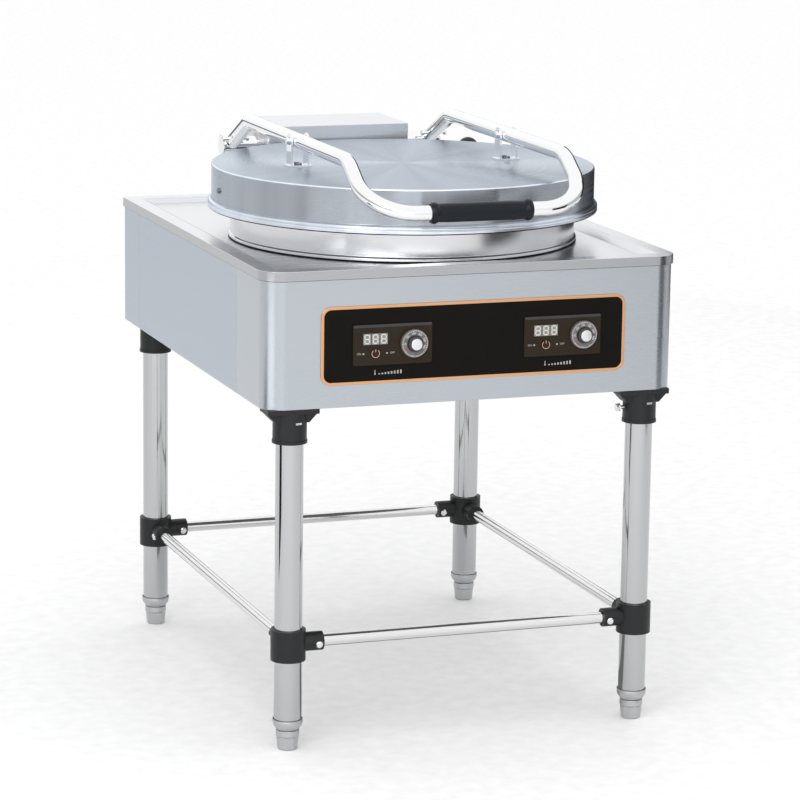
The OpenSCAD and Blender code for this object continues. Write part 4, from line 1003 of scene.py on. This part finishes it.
def dial(side):
    """Dial knob: a ring of marks and numbers with a milled edge, a ribbed hub and a bright cap."""
    node = "dial_knob_" + side
    body = node + "_body"
    low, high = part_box(node)
    spot = (low + high) / 2
    reach = (high.x - low.x) / 2
    back = bezel(side).y - 0.0003
    place = facing((spot.x, back, spot.z), (0, -1, 0))
    stem = high.y - back
    ring, hub, cap = 0.0066, 0.0136, 0.0094
    tall = back - low.y
    bm = bmesh.new()
    lathe(bm, [
        (0, -stem), (0.003, -stem, 0.0004), (0.003, 0), (reach - 0.0006, 0), (reach, 0.0008, 0.0004),
        (reach, ring - 0.0012, 0.0005), (reach - 0.0012, ring, 0.0004), (0, ring),
    ], place, FINE_ROUND)
    milled(bm, spot, reach - 0.0008, 0.975, back - 0.0004)
    finish("dial_" + side, bm, DIAL_BLACK, body, [node])
    bm = bmesh.new()
    lathe(bm, [
        (0, ring - 0.0004), (hub, ring - 0.0004), (hub, ring + 0.0006, 0.0003),
        (hub - 0.0012, tall - 0.0045, 0.0010), (cap + 0.0004, tall - 0.0036), (0, tall - 0.0036),
    ], place, FINE_ROUND)
    milled(bm, spot, hub - 0.0014, 0.95, back - ring - 0.0004)
    finish("dial_hub_" + side, bm, HUB_DARK, body)
    bm = bmesh.new()
    lathe(bm, [
        (0, tall - 0.0040), (cap, tall - 0.0040), (cap, tall - 0.0006, 0.0012), (cap * 0.5, tall - 0.0002),
        (0, tall - 0.0001),
    ], place, ROUND)
    finish("dial_cap_" + side, bm, CAP_METAL, body)
    front = on_front(spot.x, back, spot.z)
    first, sweep, count, number_reach = 220, 240, 7, 0.0163

    def around(degrees, reach_out, rise):
        """A place on the ring at an angle, with its Y axis away from the middle."""
        turn = Matrix.Rotation(math.radians(degrees) - QUARTER, 4, "Z")
        return front @ turn @ Matrix.Translation((0, reach_out, rise))

    for k in range(count):
        spot_k = around(first - k * sweep / (count - 1), number_reach, ring + PRINT)
        ink = INK_WHITE if k else INK_RED
        letters(str(50 * k), LETTER, spot_k, ink, body, f"dial_number_{k}_{side}")
    bm = bmesh.new()
    ticks, outer = 45, reach - 0.0013
    for k in range(ticks):
        long = 0.0026 if k % 5 == 0 else 0.0018
        tick = around(first - k * 360 / ticks, outer - long / 2, ring)
        bmesh.ops.create_cube(bm, size=1, matrix=tick @ Matrix.Diagonal((0.0009, long, 0.00012, 1)))
    finish("dial_scale_" + side, bm, INK_WHITE, body)


def milled(bm, spot, least, ratio, before):
    """Cuts every other pair of points beyond a radius in towards the axis, as ribs to turn by."""
    axis = Vector((spot.x, 0, spot.z))
    for v in bm.verts:
        off = Vector((v.co.x - axis.x, 0, v.co.z - axis.z))
        tooth = round(math.atan2(off.z, off.x) / (2 * math.pi) * FINE_ROUND) % 4
        if off.length > least and v.co.y < before and tooth in (0, 1):
            v.co.x = axis.x + off.x * ratio
            v.co.z = axis.z + off.z * ratio


def marks(side):
    """Words and marks beside the power key, and a temperature sign below the controller."""
    face = bezel(side)
    skin = face.y - 0.00004
    key_z = middle("power_key_" + side).z
    for word, x in (("ON", -0.0565), ("OFF", -0.0005)):
        place = on_front(face.x + x, skin, key_z)
        letters(word, LETTER, place, INK_FAINT, "cabinet", f"word_{word.lower()}_{side}")
    bm = bmesh.new()
    half = 0.0013
    for x in (face.x - 0.0490, face.x - 0.0095):
        bar(bm, (x - half, skin - PRINT, key_z - half), (x + half, skin + 0.0001, key_z + half))
    finish("lamp_marks_" + side, bm, INK_FAINT, "cabinet")
    heat_sign(side)


def heat_sign(side):
    """A thermometer and a row of bars that grow, printed on the black panel."""
    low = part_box("fascia")[0]
    skin = low.y - PRINT
    z = low.z + 0.0135
    x = bezel(side).x - 0.0285
    ink = 0.00005
    foot_z = z - 0.0036
    bm = bmesh.new()
    rod(bm, on_front(x, skin, z) @ Matrix.Translation((0, -0.0026, 0)), 0.0013, 0, 0.0001, 24)
    bar(bm, (x - 0.0006, skin - ink, z - 0.0024), (x + 0.0006, skin + ink, z + 0.0036))
    for k in range(8):
        tall = 0.0018 + 0.0006 * k
        left = x + 0.0060 + k * 0.0052
        bar(bm, (left, skin - ink, foot_z), (left + 0.0026, skin + ink, foot_z + tall))
    finish("heat_sign_" + side, bm, INK_FAINT, "cabinet")


# Pan and lid

def pan_ring():
    low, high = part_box("pan_ring")
    centre = Matrix.Translation((PAN_CENTRE.x, PAN_CENTRE.y, 0))
    reach = (high.x - low.x) / 2 - 0.0040
    inside = reach - 0.0115
    bead = low.z + 0.0045
    bm = bmesh.new()
    lathe(bm, [
        (reach - 0.002, low.z), (reach, low.z), (reach, bead - 0.0042, 0.0012),
        (reach + BEAD, bead - 0.0020, 0.0020), (reach + BEAD, bead + 0.0020, 0.0020),
        (reach, bead + 0.0042, 0.0012), (reach, high.z, 0.0018),
        (inside, high.z, 0.0008), (inside, high.z - 0.002, 0.0008), (reach - 0.002, high.z - 0.002, 0.0004),
    ], centre, FINE_ROUND, closed=True)
    finish("pan_collar", bm, RING_STEEL, "cabinet", ["pan_ring"])
    # A black ring at the foot of the collar, below its bead, is a painted shadow.
    bm = bmesh.new()
    lathe(bm, [
        (reach - 0.001, low.z), (reach + BEAD, low.z), (reach + BEAD, low.z + 0.0020, 0.0005),
        (reach - 0.001, low.z + 0.0030),
    ], centre, FINE_ROUND, closed=True)
    finish("pan_foot_painted_shadow", bm, SHADOW_BLACK, "cabinet")


def lid():
    low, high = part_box("lid_cover")
    flange = (high.x - low.x) / 2
    band = flange - LID_STEP
    step = low.z + FLANGE_TALL
    bm = bmesh.new()
    lathe(bm, [
        (0, high.z), (band, high.z, LID_ROUND), (band, step + 0.0006, 0.0022),
        (flange - 0.0012, step - 0.0012, 0.0026), (flange, step - 0.0050, 0.0016),
        (flange - 0.0014, step - 0.0064, 0.0005), (flange - 0.0003, step - 0.0080, 0.0010),
        (flange - 0.0003, low.z, 0.0020), (band - SHEET, low.z, 0.0005),
        (band - SHEET, high.z - SHEET, 0.0020), (0, high.z - SHEET),
    ], Matrix.Translation((PAN_CENTRE.x, PAN_CENTRE.y, 0)), FINE_ROUND)
    set_painted_light(bm, lambda spot, normal: lid_painted_light(spot, normal, step, high.z))
    finish("lid_drum", bm, LID_STEEL, "lid", ["lid_cover"])
    dressed("lid_saddles", CHROME, 0.0006, 2)
    lid_screws(low, high, band)


def lid_painted_light(spot, normal, step, top):
    """The lid's rolled rim gets a painted highlight, its flange is painted lighter, a little duller than the
    rim, and its lower edge is painted shadow.
    """
    if spot.z < step - FLANGE_TALL * 0.8:
        return LID_EDGE_PAINTED_SHADOW
    if spot.z < step:
        return FLANGE_PAINTED_LIGHT
    if spot.z > top - LID_ROUND - 0.0001 and 0.1 < normal.z < 0.98:
        return RIM_PAINTED_HIGHLIGHT
    return 1.0


def lid_screws(low, high, band):
    bm = bmesh.new()
    across, tall = 0.0078, 0.0035
    for side in (-1, 1):
        x = middle("lid_saddles").x + side * ARM_X
        for y in (-0.007, 0.007):
            hex_head(bm, facing((x, PAN_CENTRE.y + y, high.z + 0.003), (0, 0, 1)), across, tall)
        place = facing((side * band, PAN_CENTRE.y, (low.z + high.z) / 2), (side, 0, 0))
        hex_head(bm, place, across, tall)
        rod(bm, place, 0.0025, -0.010, 0.001, 20)
    finish("lid_screw_set", bm, SCREW_DARK, "lid", ["lid_screws"])


# Lid frame

ARM_LOW, ARM_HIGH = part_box("pivot_bolts")
ARM_X = (ARM_HIGH.x - ARM_LOW.x) / 2 - 0.0213
ARM_Z = (ARM_LOW.z + ARM_HIGH.z) / 2
AXLE = Vector(HINGE["lid_hinge"]["pos_m"])
ARM_RADIUS = 0.0125


def arm_tube():
    """One bent tube: hinge, rear bend, arm, front bend, corner, handle, and back on the other side."""
    handle = middle("grip")
    drop = ARM_Z - AXLE.z
    rear = math.atan2(drop, REAR_RUN)
    front = math.atan2(ARM_Z - handle.z, FRONT_RUN)
    rear_cut = REAR_BEND * math.tan(rear / 2)
    front_cut = FRONT_BEND * math.tan(front / 2)
    rear_leg = math.hypot(REAR_RUN, drop) - rear_cut
    front_leg = math.hypot(FRONT_RUN, ARM_Z - handle.z) - front_cut - HANDLE_BEND
    arm = AXLE.y - REAR_RUN - rear_cut - (handle.y + FRONT_RUN) - front_cut
    stop = 0.0135
    slope = Vector((0, -math.cos(rear), math.sin(rear)))
    start = Vector((-ARM_X, AXLE.y, AXLE.z)) + slope * stop
    corner_axis = Vector((0, -math.sin(front), math.cos(front)))
    first_half = [
        ("straight", rear_leg - stop, None),
        ("bend", (REAR_BEND, rear), (1, 0, 0)),
        ("straight", arm, None),
        ("bend", (FRONT_BEND, front), (1, 0, 0)),
        ("straight", front_leg, None),
        ("bend", (HANDLE_BEND, QUARTER), corner_axis),
    ]
    second_half = [
        (kind, value, (-1, 0, 0) if normal == (1, 0, 0) else normal)
        for kind, value, normal in reversed(first_half)
    ]
    handle_run = [("straight", 2 * (ARM_X - HANDLE_BEND), None)]
    bm = bmesh.new()
    run_tube(bm, start, slope, ARM_RADIUS, first_half + handle_run + second_half)
    finish("arm_bent_tube", bm, CHROME, "lid_frame", ["arm_tube"])


def lid_frame():
    arm_tube()
    grip()
    shaft_low, shaft_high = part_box("hinge_shaft")
    bm = bmesh.new()
    length = shaft_high.x - shaft_low.x
    reach = (shaft_high.z - shaft_low.z) / 2
    pipe(bm, facing((shaft_low.x, AXLE.y, AXLE.z), (1, 0, 0)), reach, 0.003, 0, length, 0.0006, 64)
    finish("hinge_axle", bm, CHROME, "lid_frame", ["hinge_shaft"])
    bm = bmesh.new()
    disc_low, disc_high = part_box("shaft_discs")
    disc = (disc_high.z - disc_low.z) / 2
    for side in (-1, 1):
        place = facing((side * length / 2, AXLE.y, AXLE.z), (side, 0, 0))
        lathe(bm, [(0, 0), (disc, 0, 0.0006), (disc, 0.004, 0.0014), (0, 0.004)], place, 64)
    finish("axle_end_discs", bm, CHROME, "lid_frame", ["shaft_discs"])
    bolts()


def bolts():
    """Pivot bolts through the saddles, and cross bolts through the arms' rear legs."""
    pivot = Vector((0, PAN_CENTRE.y, ARM_Z))
    for name, node, middle_spot, reach, half, steps, seat, across, tall in (
        ("pivot_bolt_pair", "pivot_bolts", pivot, 0.004, 0.017, 32, 0.0163, 0.0112, 0.005),
        ("cross_bolt_pair", "cross_bolts", middle("cross_bolts"), 0.003, 0.021, 24, 0.020, 0.0086, 0.004),
    ):
        bm = bmesh.new()
        for side in (-1, 1):
            spot = Vector((side * ARM_X, middle_spot.y, middle_spot.z))
            rod(bm, facing(spot, (1, 0, 0)), reach, -half, half, steps)
            for way in (-1, 1):
                hex_head(bm, facing(spot + Vector((way * seat, 0, 0)), (way, 0, 0)), across, tall)
        finish(name, bm, BOLT_STEEL, "lid_frame", [node])


def grip():
    low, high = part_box("grip")
    spot = (low + high) / 2
    length = high.x - low.x
    ring = (high.z - low.z) / 2
    body = ring - 0.002
    place = facing((low.x, spot.y, spot.z), (1, 0, 0))
    bore = ARM_RADIUS + 0.0002
    bm = bmesh.new()
    lathe(bm, [
        (bore, 0), (ring - 0.0025, 0, 0.0012), (ring, 0.0045, 0.0030), (ring, 0.0080, 0.0030),
        (body - 0.0006, 0.0130, 0.0040), (body, 0.030, 0.02), (body, length - 0.030, 0.02),
        (body - 0.0006, length - 0.0130, 0.0040), (ring, length - 0.0080, 0.0030),
        (ring, length - 0.0045, 0.0030), (ring - 0.0025, length, 0.0012), (bore, length),
    ], place, 64, closed=True)
    finish("handle_grip", bm, GRIP_BLACK, "lid_frame", ["grip"])


set_camera()
set_light()
set_floor()
stand()
cabinet()
control_panel()
pan_ring()
lid()
lid_frame()
